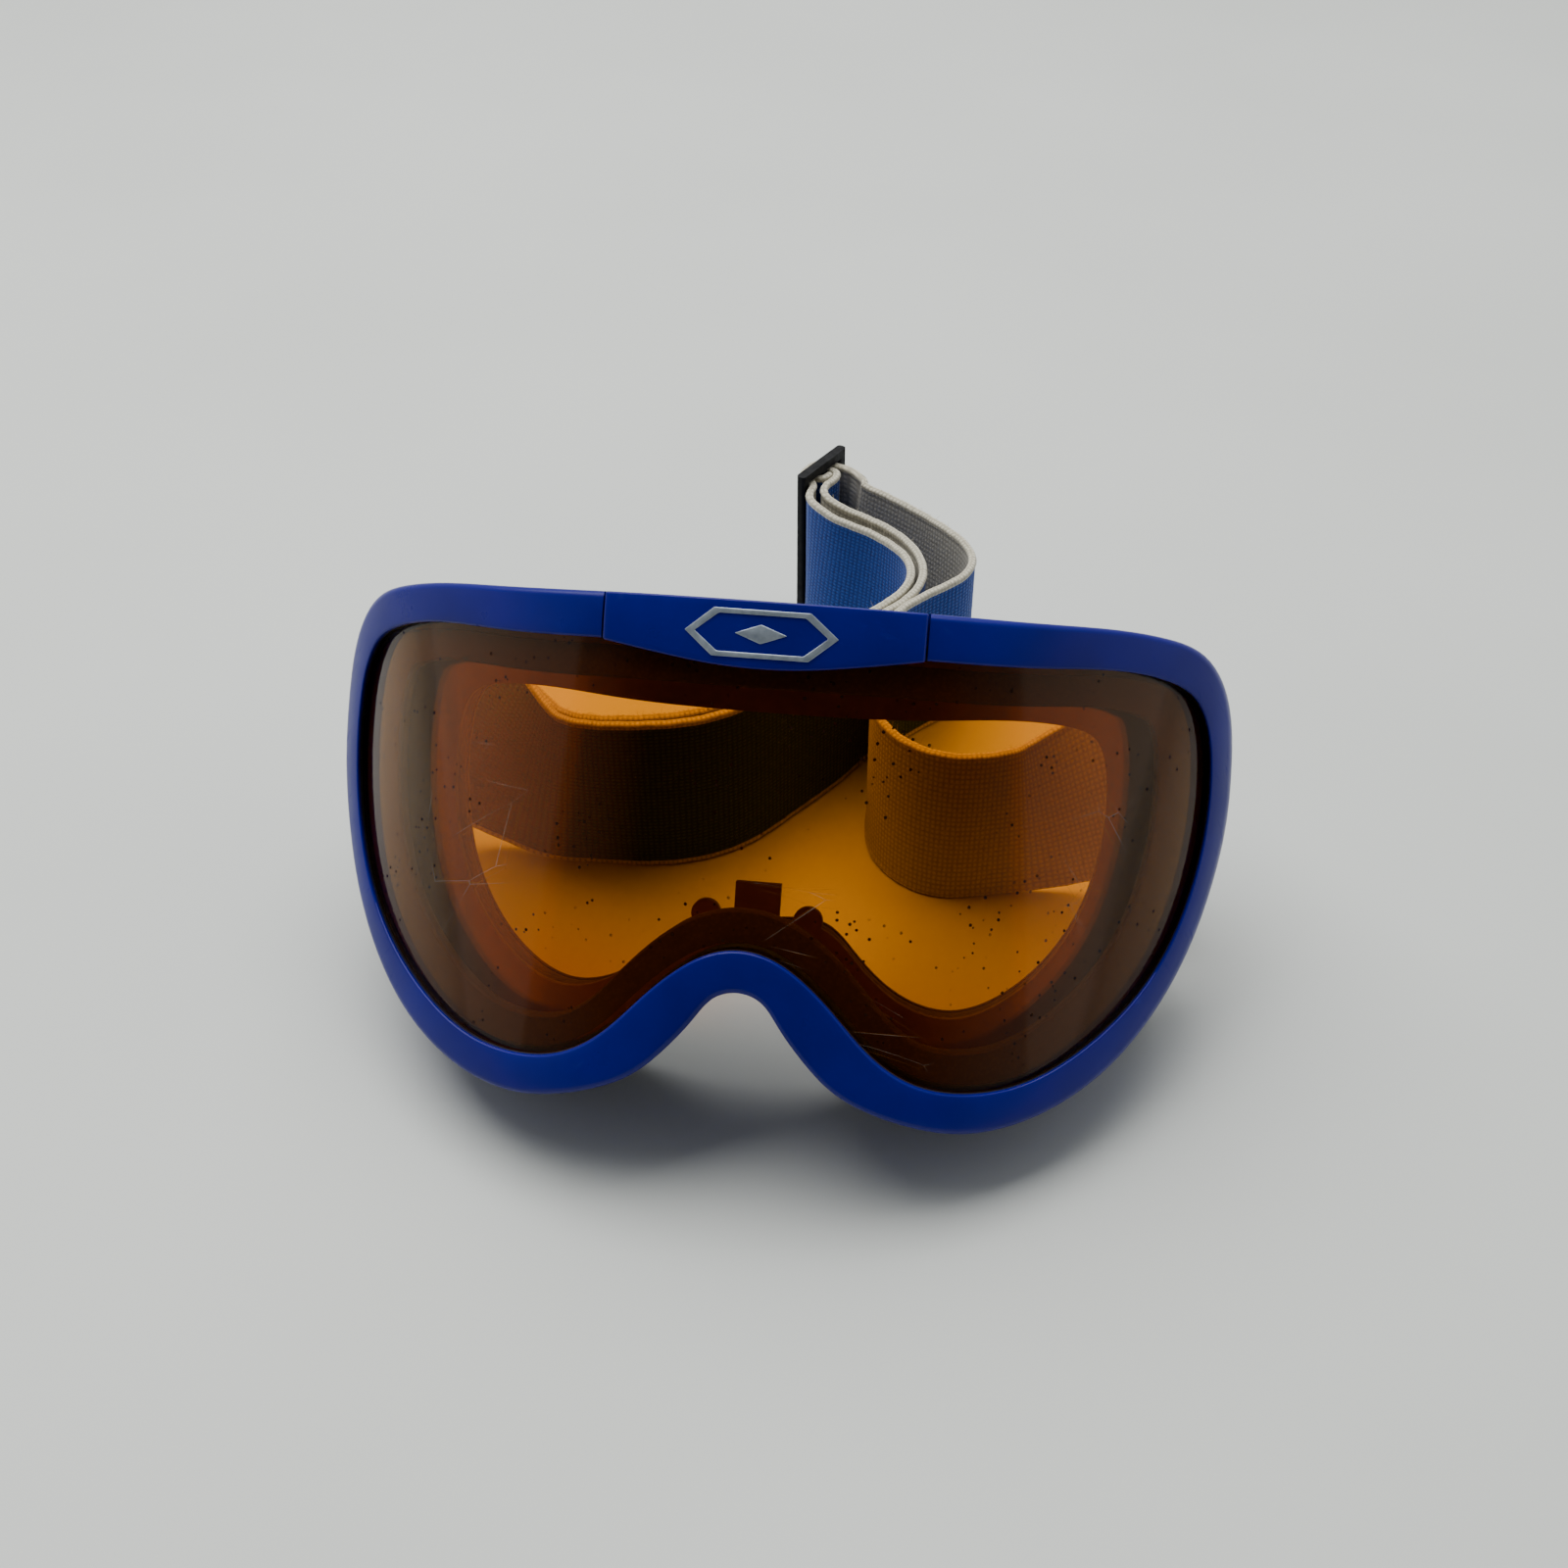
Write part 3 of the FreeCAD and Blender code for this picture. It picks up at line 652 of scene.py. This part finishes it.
def vent_strip(name, chosen, cad_node):
    """A strip of vent foam against the inside of the frame's wall, round part of the opening."""
    first, last = LEDGE_DEPTH + 0.4, SHELL_DEPTH - 0.3
    rings = []
    for inset, share in ((0.15, 0.06), (0.15, 0.94), (0.6, 1.0), (2.4, 1.0), (2.9, 0.94),
                         (2.9, 0.06), (2.4, 0.0), (0.6, 0.0)):
        near = ring_at(width - WALL - inset, first)
        far = back_ring(width - WALL - inset, last)
        rings.append((near + (far - near) * share)[chosen])
    piece = skinned(name, rings, closed_ring=False, smooth=70)
    placed(piece, vent_foam)
    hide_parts(cad_node)
    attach(piece, "goggles")


order = np.arange(len(opening))
top = order[(opening[:, 1] > 20) & (np.abs(opening[:, 0]) < 62)]
vent_strip("vent_foam_top", top, "top_vent_foam")
bottom = (opening[:, 1] < -38)
vent_strip("vent_foam_right", order[bottom & (opening[:, 0] > 25) & (opening[:, 0] < 59)],
           "bottom_vent_foam_right")
vent_strip("vent_foam_left", order[bottom & (opening[:, 0] < -25) & (opening[:, 0] > -59)],
           "bottom_vent_foam_left")

FACE_OUTLINE = [
    (0, -28), (7, -27.6), (12.5, -28.4), (19, -34), (27.5, -41.5), (38, -44.5), (47, -41.3),
    (56, -33), (62, -22), (64.6, -9), (64.4, 3), (61.5, 10.4), (54, 12.8), (30, 12.2), (0, 11.6),
]
FOAM_INSET, FOAM_SQUEEZE, FACE_GAP = 4.5, 0.93, 0.8
FLANGE_BACK, FOAM_BACK, FLEECE_BACK = 26.0, 35.5, 38.0


def matched_loop(half, marks, counts, inset, squeeze):
    """A loop with set numbers of points between the marked knots, moved in and squeezed."""
    loop = smooth_line(mirrored_loop(half), True)
    loop = loop - outwards(loop) * inset
    loop[:, 0] *= squeeze
    right = [spaced(loop[STEPS * a:STEPS * b + 1], n + 1)[:-1]
             for a, b, n in zip(marks, marks[1:], counts)]
    right = np.vstack(right + [loop[STEPS * marks[-1]][None]])
    right[0, 0] = right[-1, 0] = 0
    return np.vstack([right, right[-2:0:-1] * (-1, 1)])


SPANS = (50, 60, 40, 60)
foam_outside = matched_loop(RIM, (0, 7, 14, 18, 22), SPANS, FOAM_INSET, FOAM_SQUEEZE)
foam_inside = matched_loop(FACE_OUTLINE, (0, 5, 9, 11, 14), SPANS, -FACE_GAP, 1.0)


def foam_layer(name, front, back, swell, edge, bulge):
    """A foam ring between the two loops: swollen sides, rounded back edges, a soft back."""
    across = foam_outside - foam_inside
    away = across / np.linalg.norm(across, axis=1)[:, None]
    rings = []
    for place in np.linspace(0, 1, 6):
        out_by = swell * math.sin(math.pi * place) - edge * place**6
        rings.append(face_ring(foam_outside + away * out_by,
                               front + (back - front - edge * 0.6) * place))
    for share in (0.94, 0.8, 0.6, 0.4, 0.2, 0.06):
        rings.append(face_ring(foam_inside + across * share,
                               back + bulge * (4 * share * (1 - share) - 1) * 0.5))
    for place in np.linspace(1, 0, 6):
        out_by = swell * 0.5 * math.sin(math.pi * place) - edge * place**6
        rings.append(face_ring(foam_inside - away * out_by,
                               front + (back - front - edge * 0.6) * place))
    return skinned(name, rings, smooth=80)


face_cushion = foam_layer("face_cushion", FLANGE_BACK, FOAM_BACK, 0.5, 0.2, 0.0)
face_foam = foam_finish("face_foam", (0.012, 0.012, 0.014), (0.055, 0.055, 0.058), 900.0)
placed(face_cushion, face_foam)
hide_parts("face_foam")
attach(face_cushion, "goggles")

fleece_layer = foam_layer("fleece_layer", FOAM_BACK, FLEECE_BACK, 0.35, 0.9, 0.5)
face_fleece, shader = finish("face_fleece", Roughness=1.0, Sheen_Weight=0.6, Sheen_Roughness=0.4)
mottled(face_fleece, shader, "Base Color", 1300.0, (0.012, 0.012, 0.014), (0.05, 0.05, 0.055), 6.0)
under = bumped(face_fleece, shader, grain(face_fleece, 1700.0, 8.0), 0.9, 0.0004)
bumped(face_fleece, shader, grain(face_fleece, 240.0), 0.3, 0.0004, under)
placed(fleece_layer, face_fleece)
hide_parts("face_fleece")
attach(fleece_layer, "goggles")

# ---- Face flange ----
# A dark, slightly flexible moulding behind the frame, which carries the face foam. It is open
# for the eyes and has a small tab over the nose.

flange_plastic, shader = finish("flange_plastic", IOR=1.5)
mottled(flange_plastic, shader, "Base Color", 160.0, (0.08, 0.065, 0.058), (0.12, 0.10, 0.09), 5.0)
mottled(flange_plastic, shader, "Roughness", 700.0, 0.45, 0.65)
bumped(flange_plastic, shader, grain(flange_plastic, 1800.0), 0.3, 0.00006)
eased("face_flange", 0.35, flange_plastic)

# ---- Strap anchors and pins ----
# A black nylon plate swings on a steel pin between the frame's ears at each side. The strap
# passes through its slot and round the bar behind it.

anchor_nylon, shader = finish("anchor_nylon", IOR=1.53)
mottled(anchor_nylon, shader, "Base Color", 260.0, (0.008, 0.008, 0.009), (0.02, 0.02, 0.022), 5.0)
mottled(anchor_nylon, shader, "Roughness", 600.0, 0.35, 0.55)
bumped(anchor_nylon, shader, grain(anchor_nylon, 1500.0), 0.25, 0.00006)
for side in ("left", "right"):
    eased(f"strap_anchor_{side}", 0.4, anchor_nylon)

pin_steel, shader = finish("pin_steel", Metallic=1.0)
mottled(pin_steel, shader, "Base Color", 500.0, (0.38, 0.38, 0.4), (0.52, 0.52, 0.54), 5.0,
        (1, 1, 0.1))
mottled(pin_steel, shader, "Roughness", 900.0, 0.22, 0.4)
for side in ("left", "right"):
    eased(f"anchor_pin_{side}", 0.2, pin_steel)

# ---- Strap slider ----
# A flat black three-bar slider, standing upright on the strap, with rounded bars.

slider_nylon, shader = finish("slider_nylon", IOR=1.25)
mottled(slider_nylon, shader, "Base Color", 240.0, (0.002, 0.002, 0.003), (0.007, 0.007, 0.009),
        5.0)
mottled(slider_nylon, shader, "Roughness", 700.0, 0.5, 0.75)
bumped(slider_nylon, shader, grain(slider_nylon, 1600.0), 0.3, 0.00006)
eased("strap_slider", 0.35, slider_nylon)

# ---- Strap ----
# One length of elastic webbing, blue and slightly fluffy outside, greyish inside, with cream
# edges. Its sewn end loops round the slider's middle bar, it runs to the left anchor and back,
# weaves through the slider, folds once and ends sewn back on itself at the right anchor.

STRAP_WIDTH, STRAP_THICKNESS = 40.0, 1.5
SLIDER_START, SLIDER_HEADING, SLIDER_RISE = (-9.0, 151.0), math.radians(62.1), 2.5
ANCHOR_SWING, BAR_REACH, BAR_TURN = math.radians(20), 13.6, 2.8
DOUBLED = [
    (-46, 57.2, 2.2), (-33, 58, 2.4), (-21, 61.6, 2.8), (-12, 68, 2.8), (-4.5, 77, 2.4),
    (3, 87, 2.2), (8, 95, 2.2), (11.5, 101.5, 2.2), (16, 107.5, 2.4), (19.5, 113.5, 2.6),
    (20.8, 120, 2.8), (19.2, 127, 3.2), (14.5, 133, 4.2), (8, 137.2, 4.8), (1, 140.4, 5.0),
    (-4, 144.4, 4.6),
]
SINGLE = [
    (6.2, 157.2), (11.5, 153.4), (17.5, 149.6), (23.5, 145.2), (29.5, 139.2), (33.6, 133),
    (34.8, 126.6), (32.6, 120.4), (28, 115.2), (22.6, 109.4), (18.4, 103), (16.6, 96), (16.2, 87),
    (16, 77), (17.6, 66), (23.5, 57.6), (33, 53.4), (45, 55.6),
]
WEAVE = [
    (-0.6, -3.3), (1.9, -2.4), (3.7, -1.4), (4.7, 0), (5.3, 2.2), (7, 3.7), (9.5, 4.05),
    (12, 3.7), (13.7, 2.2), (14.3, 0), (14.6, -1.8), (14.9, -3.6), (14.8, -5.6),
]
SEWN_LOOP = [
    (3.6, -4.8), (7, -4.3), (10.2, -4.0), (11.8, -2.8), (12, -1), (11.9, 0.6), (11.6, 1.7),
    (10.7, 2.2), (9.5, 2.25), (8.3, 2.2), (7.4, 1.7), (7.05, 0.6), (7.05, -0.8), (7.6, -1.8),
    (8.8, -2.1), (10.2, -2.05),
]
OUTER_LEG = [(51.5, 57.5, 0.5, 3), (58, 59.8, 1.9, 10), (67, 63.6, 4.0, 21), (73, 65.8, 4.9, 29)]
INNER_LEG = [(73.5, 62.4, 7.8, 34), (67, 60.9, 5.4, 22), (58, 57.3, 2.0, 10),
             (51.5, 55.2, 0.5, 3)]
TAIL_LEG = [(73.5, 62.4, 7.8, 34), (69.5, 62.2, 6.8, 25)]
SPAN_STEPS, WEB_STEP = 12, 0.8
row = lip_middle * 1000
half_strap, half_thick = STRAP_WIDTH / 2, STRAP_THICKNESS / 2


def upright(x, y, rise=0.0, tilt=0.0):
    """A middle point of the standing webbing in millimetres, with its lean in degrees."""
    return (x, y, half_strap + rise - row[2], tilt)


def by_slider(s, q):
    """A plan point from its place along and across the slider."""
    return (SLIDER_START[0] + s * math.cos(SLIDER_HEADING) - q * math.sin(SLIDER_HEADING),
            SLIDER_START[1] + s * math.sin(SLIDER_HEADING) + q * math.cos(SLIDER_HEADING))


def round_bar(side, angles):
    """Middle points of the webbing where it turns round an anchor's bar."""
    bar_x = PIVOT_X - BAR_REACH * math.sin(ANCHOR_SWING)
    bar_y = PIVOT_Y + BAR_REACH * math.cos(ANCHOR_SWING)
    turn = []
    for angle in angles:
        a = math.radians(angle)
        point = leaned((side * (bar_x + BAR_TURN * math.cos(a)), bar_y + BAR_TURN * math.sin(a), 0))
        x, y, z = (point - lip_middle) * 1000
        turn.append((x, y, z, 35.0))
    return turn


def leg(side, points):
    return [upright(side * x, y, rise, tilt) for x, y, rise, tilt in points]


beside = []
for i, (x, y, gap) in enumerate(DOUBLED):
    x0, y0, _ = DOUBLED[max(i - 1, 0)]
    x1, y1, _ = DOUBLED[min(i + 1, len(DOUBLED) - 1)]
    run = math.hypot(x1 - x0, y1 - y0)
    beside.append((x + gap * (y1 - y0) / run, y - gap * (x1 - x0) / run))
climb = [0.0] * (len(DOUBLED) - 3) + [0.5, 1.2, 2.0]
stretches = {
    "strap_sewn_end": [upright(*by_slider(s, q), SLIDER_RISE) for s, q in SEWN_LOOP][::-1],
    "strap_sewn_side": [upright(x, y, rise) for (x, y), rise in zip(beside, climb)][::-1],
    "strap_left_turn": leg(-1, INNER_LEG)[::-1] + round_bar(-1, (-90, -45, 0, 45, 90))
    + leg(-1, OUTER_LEG)[::-1],
    "strap_running_side": [upright(x, y, rise) for (x, y, _), rise in zip(DOUBLED, climb)],
    "strap_in_slider": [upright(*by_slider(s, q), SLIDER_RISE) for s, q in WEAVE],
    "strap_folded_side": [upright(*by_slider(14.4, -6.9), 2.2)]
    + [upright(x, y, max(0.0, 1.6 - 0.55 * i)) for i, (x, y) in enumerate(SINGLE)],
    "strap_right_turn": leg(1, OUTER_LEG) + round_bar(1, (90, 45, 0, -45, -90)) + leg(1, TAIL_LEG),
}
knots = [point for stretch in stretches.values() for point in stretch]
whole = smooth_line(knots, steps=SPAN_STEPS)
runs = np.gradient(whole[:, :3], axis=0)
runs /= np.linalg.norm(runs, axis=1)[:, None]
lengths = np.linalg.norm(np.diff(whole[:, :3], axis=0), axis=1)
covered = np.concatenate([[0], np.cumsum(lengths)])
whole = np.hstack([whole, runs, covered[:, None]])

blue_knit, shader = finish("blue_knit", Roughness=0.95, Sheen_Weight=0.12, Sheen_Roughness=0.4)
uv = node(blue_knit, "UVMap", uv_map="webbing").outputs[0]
ribs = node(blue_knit, "TexWave", {"Vector": uv, "Scale": 260.0, "Distortion": 0.5, "Detail": 1.0,
                                   "Detail Scale": 2.0}, bands_direction="X")
rows_knit = node(blue_knit, "TexWave", {"Vector": uv, "Scale": 330.0, "Distortion": 0.4},
                 bands_direction="Y")
weave = node(blue_knit, "Math", {0: ribs.outputs["Fac"], 1: rows_knit.outputs["Fac"]},
             operation="MULTIPLY").outputs[0]
thread = node(blue_knit, "TexNoise", {"Vector": uv, "Scale": 1500.0, "Detail": 5.0})
tone = node(blue_knit, "Math", {0: weave, 1: thread.outputs["Fac"]},
            operation="ADD").outputs[0]
link(blue_knit, shades(blue_knit, tone, (0.25, (0.003, 0.014, 0.10)),
                       (0.6, (0.006, 0.035, 0.22)), (1.0, (0.015, 0.07, 0.33))),
     shader, "Base Color")
under = bumped(blue_knit, shader, weave, 0.5, 0.00025)
bumped(blue_knit, shader, thread.outputs["Fac"], 0.6, 0.00025, under)


def plain_knit(name, dark, light, sheen):
    """Ribbed knit in one tone."""
    material, shader = finish(name, Roughness=0.92, Sheen_Weight=sheen, Sheen_Roughness=0.5)
    uv = node(material, "UVMap", uv_map="webbing").outputs[0]
    ribs = node(material, "TexWave", {"Vector": uv, "Scale": 300.0, "Distortion": 0.7},
                bands_direction="X")
    cords = node(material, "TexWave", {"Vector": uv, "Scale": 240.0, "Distortion": 0.4},
                 bands_direction="Y")
    weave = node(material, "Math", {0: ribs.outputs["Fac"], 1: cords.outputs["Fac"]},
                 operation="MULTIPLY").outputs[0]
    thread = node(material, "TexNoise", {"Vector": uv, "Scale": 1100.0, "Detail": 4.0})
    tone = node(material, "Math", {0: weave, 1: thread.outputs["Fac"]},
                operation="ADD").outputs[0]
    link(material, shades(material, tone, (0.3, dark), (1.1, light)), shader, "Base Color")
    bumped(material, shader, tone, 0.5, 0.00014)
    return material


cream_edge = plain_knit("cream_edge", (0.30, 0.27, 0.2), (0.62, 0.58, 0.46), 0.3)
grey_inside = plain_knit("grey_inside", (0.27, 0.25, 0.21), (0.50, 0.47, 0.40), 0.1)

EDGE_BAND, EDGE_CORD, EDGE_ROUND, CORD_HALF = 1.5, 0.9, 0.3, 1.0
upper_edge = [
    (half_strap - EDGE_BAND, half_thick), (half_strap - EDGE_CORD, CORD_HALF),
    (half_strap - EDGE_ROUND, half_thick), (half_strap, 0.0),
    (half_strap - EDGE_ROUND, -half_thick), (half_strap - EDGE_CORD, -CORD_HALF),
    (half_strap - EDGE_BAND, -half_thick),
]
blue_face = [(a, half_thick) for a in np.arange(-17.5, 17.6, 3.5)]
half_section = blue_face + upper_edge
section = np.array(half_section + [(-a, -d) for a, d in half_section])
section = np.roll(section, 1, axis=0)
blue_sides, inner_sides = set(range(0, 12)), set(range(18, 30))
rng = np.random.default_rng(7)


def lie_of(cut):
    """The webbing's run, the direction across it and its blue side, at each point."""
    run = cut[:, 4:7] / np.linalg.norm(cut[:, 4:7], axis=1)[:, None]
    tilt = np.radians(cut[:, 3])
    across = np.stack([tilt * 0, np.sin(tilt), np.cos(tilt)], 1)
    across -= run * (across * run).sum(1)[:, None]
    across /= np.linalg.norm(across, axis=1)[:, None]
    return run, across, np.cross(across, run)


LINT_PER_MM, LINT_RADIUS = 0.9, 0.035


def lint(root, way, curl, reach):
    """Points and faces of one loose fibre."""
    side = np.cross(way, (0.3, 0.5, 0.8))
    side /= np.linalg.norm(side)
    other = np.cross(way, side)
    points = []
    for share in (0.0, 0.35, 0.7, 1.0):
        middle = root + way * reach * share + curl * reach * share**2
        radius = LINT_RADIUS * (1 - 0.6 * share)
        for turn in (0.0, 2.1, 4.2):
            points.append(middle + radius * (side * math.cos(turn) + other * math.sin(turn)))
    faces = [(0, 2, 1), (9, 10, 11)]
    for level in (0, 3, 6):
        for i in range(3):
            j = (i + 1) % 3
            faces.append((level + i, level + j, level + 3 + j, level + 3 + i))
    return points, faces


def webbing(name, first, last):
    """The webbing between two knots of its whole length."""
    cut = whole[first * SPAN_STEPS:last * SPAN_STEPS + 1]
    length = np.linalg.norm(np.diff(cut[:, :3], axis=0), axis=1).sum()
    cut = spaced(cut, max(8, int(length / WEB_STEP)))
    run, across, left = lie_of(cut)
    wobble = 0.12 * np.sin(cut[:, 7] * 0.9) + 0.08 * np.sin(cut[:, 7] * 2.3 + 1.0)
    points, faces, kinds, places = [], [], [], []
    n = len(section)
    for k in range(len(cut)):
        for a, d in section:
            fray = wobble[k] * (abs(a) / half_strap) ** 8
            points.append((cut[k, :3] + across[k] * (a + fray * 0.5)
                           + left[k] * d) / 1000 + lip_middle)
    for k in range(len(cut) - 1):
        for i in range(n):
            j = (i + 1) % n
            faces.append((k * n + i, k * n + j, (k + 1) * n + j, (k + 1) * n + i))
            kinds.append(0 if i in blue_sides else 2 if i in inner_sides else 1)
            places.append(((k, i), (k, i + 1), (k + 1, i + 1), (k + 1, i)))
    faces += [tuple(range(n)), tuple((len(cut) - 1) * n + i for i in range(n))]
    kinds += [1, 1]
    places += [[(0, i) for i in range(n)], [(len(cut) - 1, i) for i in range(n)]]
    for _ in range(int(length * LINT_PER_MM)):
        k, side = rng.integers(1, len(cut) - 1), rng.choice((-1, 1))
        by_edge = rng.random() < 0.75
        height = half_strap - 0.3 if by_edge else rng.uniform(-15, 19)
        root = cut[k, :3] + across[k] * height + left[k] * side * 0.6
        way = (across[k] * (rng.uniform(0.2, 1.0) if by_edge else rng.uniform(-0.3, 0.6))
               + left[k] * side * rng.uniform(0.3, 1.0) + run[k] * rng.uniform(-1, 1))
        way /= np.linalg.norm(way)
        fibre, sides = lint(root, way, rng.uniform(-0.5, 0.5, 3), rng.uniform(0.5, 1.7))
        start = len(points)
        points += [point / 1000 + lip_middle for point in fibre]
        faces += [tuple(start + i for i in corners) for corners in sides]
        kinds += [1 if by_edge else 0 if side > 0 else 2] * len(sides)
        places += [[(k, 0)] * len(corners) for corners in sides]
    mesh = bpy.data.meshes.new(name)
    mesh.from_pydata([tuple(p) for p in points], [], faces)
    girth = np.concatenate([[0], np.cumsum(np.linalg.norm(
        np.diff(np.vstack([section, section[:1]]), axis=0), axis=1))])
    layer = mesh.uv_layers.new(name="webbing")
    for polygon, spots in zip(mesh.polygons, places):
        for corner, (k, i) in zip(polygon.loop_indices, spots):
            layer.data[corner].uv = (cut[k, 7] / 1000, girth[i] / 1000)
    mesh.polygons.foreach_set("material_index", kinds)
    for material in (blue_knit, cream_edge, grey_inside):
        mesh.materials.append(material)
    piece = shown(name, mesh, 60)
    return piece


thread_cream, shader = finish("thread_cream", Roughness=0.8, Sheen_Weight=0.2)
mottled(thread_cream, shader, "Base Color", 2600.0, (0.45, 0.41, 0.32), (0.66, 0.62, 0.5))
bumped(thread_cream, shader, grain(thread_cream, 4000.0), 0.5, 0.0001)


def stitch_rows(name, knot, shifts):
    """Rows of thread across the webbing, through both its faces, near a knot."""
    points, faces = [], []
    for shift in shifts:
        spot = whole[knot * SPAN_STEPS + shift][None]
        run, across, left = (way[0] for way in lie_of(spot))
        for height in np.arange(-17.0, 17.1, 2.9):
            for face in (-1, 1):
                middle = spot[0, :3] + across * height + left * face * 0.72
                start = len(points)
                for share in np.linspace(-1, 1, 7):
                    arch = math.sqrt(max(0.0, 1 - share**2))
                    for turn in np.arange(6) * math.pi / 3:
                        points.append((middle + across * share * 1.15
                                       + left * face * (0.12 * arch + 0.2 * arch * math.sin(turn))
                                       + run * 0.25 * (0.2 + 0.8 * arch) * math.cos(turn))
                                      / 1000 + lip_middle)
                for ring in range(6):
                    for i in range(6):
                        a, b = start + ring * 6 + i, start + ring * 6 + (i + 1) % 6
                        faces.append((a, b, b + 6, a + 6))
                faces.append(tuple(start + i for i in range(6)))
                faces.append(tuple(start + 36 + i for i in range(6)))
    piece = made(name, points, faces, 80)
    piece.data.materials.append(thread_cream)
    return piece


strap = {}
place = 0
for name, stretch in stretches.items():
    last = min(place + len(stretch), len(knots) - 1)
    strap[name] = webbing(name, place, last)
    place += len(stretch)

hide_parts("strap_sewn_loop")
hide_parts("strap_sewn_layer")
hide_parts("strap_lead_left")
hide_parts("strap_running_layer")
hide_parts("strap_weave")
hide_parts("strap_single_layer")
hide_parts("strap_lead_right")
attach(strap["strap_sewn_end"], "slider")
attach(strap["strap_in_slider"], "slider")
for name in ("strap_sewn_side", "strap_running_side", "strap_folded_side"):
    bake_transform(strap[name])
names = list(stretches)
right_turn_knot = sum(len(stretches[name]) for name in names[:names.index("strap_right_turn")])
strap["stitches_right"] = stitch_rows("stitches_right", right_turn_knot + 2, (4, 9))
sewn_knot = len(stretches["strap_sewn_end"]) - 2
strap["stitches_slider"] = stitch_rows("stitches_slider", sewn_knot, (0, 8))
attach(strap["stitches_slider"], "slider")
for side, name, body in ((-1, "strap_left_turn", "anchor_left"),
                         (1, "strap_right_turn", "anchor_right"),
                         (1, "stitches_right", "anchor_right")):
    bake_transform(strap[name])

# ---- Table, light and camera ----
# A plain pale table under wide soft lights, one above and one at each side, with little light
# from in front.

floor_mesh = bpy.data.meshes.new("table_top")
floor_mesh.from_pydata([(-3, -3, 0), (3, -3, 0), (3, 3, 0), (-3, 3, 0)], [], [(0, 1, 2, 3)])
table_top = bpy.data.objects.new("table_top", floor_mesh)
bpy.context.scene.collection.objects.link(table_top)
table_paint, shader = finish("table_paint", Roughness=0.5, IOR=1.4)
mottled(table_paint, shader, "Base Color", 6.0, (0.60, 0.62, 0.60), (0.64, 0.66, 0.64))
floor_mesh.materials.append(table_paint)


def soft_light(name, place, aim, size, power, colour=(1, 1, 1)):
    lamp = bpy.data.lights.new(name, "AREA")
    lamp.shape = "RECTANGLE"
    lamp.size, lamp.size_y = size
    lamp.energy = power
    lamp.color = colour
    light = bpy.data.objects.new(name, lamp)
    bpy.context.scene.collection.objects.link(light)
    light.location = place
    light.rotation_euler = (Vector(aim) - Vector(place)).to_track_quat("-Z", "Y").to_euler()


soft_light("light_above", (-0.22, 0.35, 1.1), (0, 0, 0), (1.3, 1.1), 23.5, (1, 1, 0.98))
soft_light("light_left", (-1.3, -0.35, 0.3), (0, 0, 0.05), (1.1, 0.7), 0.75)
soft_light("light_right", (1.3, -0.3, 0.3), (0, 0, 0.05), (1.0, 0.7), 0.6)
room = bpy.data.worlds.new("room")
room.use_nodes = True
sky = room.node_tree.nodes
way = sky.new("ShaderNodeTexCoord")
front = sky.new("ShaderNodeVectorMath")
front.operation = "DOT_PRODUCT"
front.inputs[1].default_value = (0, -0.87, 0.5)
fade = sky.new("ShaderNodeValToRGB")
fade.color_ramp.elements[0].position, fade.color_ramp.elements[1].position = 0.3, 0.85
fade.color_ramp.elements[0].color = (0.68, 0.70, 0.69, 1)
fade.color_ramp.elements[1].color = (0.02, 0.02, 0.022, 1)
room.node_tree.links.new(way.outputs["Generated"], front.inputs[0])
room.node_tree.links.new(front.outputs["Value"], fade.inputs["Fac"])
room.node_tree.links.new(fade.outputs["Color"], sky["Background"].inputs["Color"])
bpy.context.scene.world = room

camera_data = bpy.data.cameras.new("camera")
camera_data.sensor_width = 36.0
camera_data.lens = 42.75
camera_data.clip_start = 0.01
camera = bpy.data.objects.new("camera", camera_data)
bpy.context.scene.collection.objects.link(camera)
camera.location = lip_middle + np.array([0.0366, -0.2472, 0.2078])
camera.rotation_euler = Vector((-0.095, 0.763, -0.639)).to_track_quat("-Z", "Y").to_euler()
bpy.context.scene.camera = camera
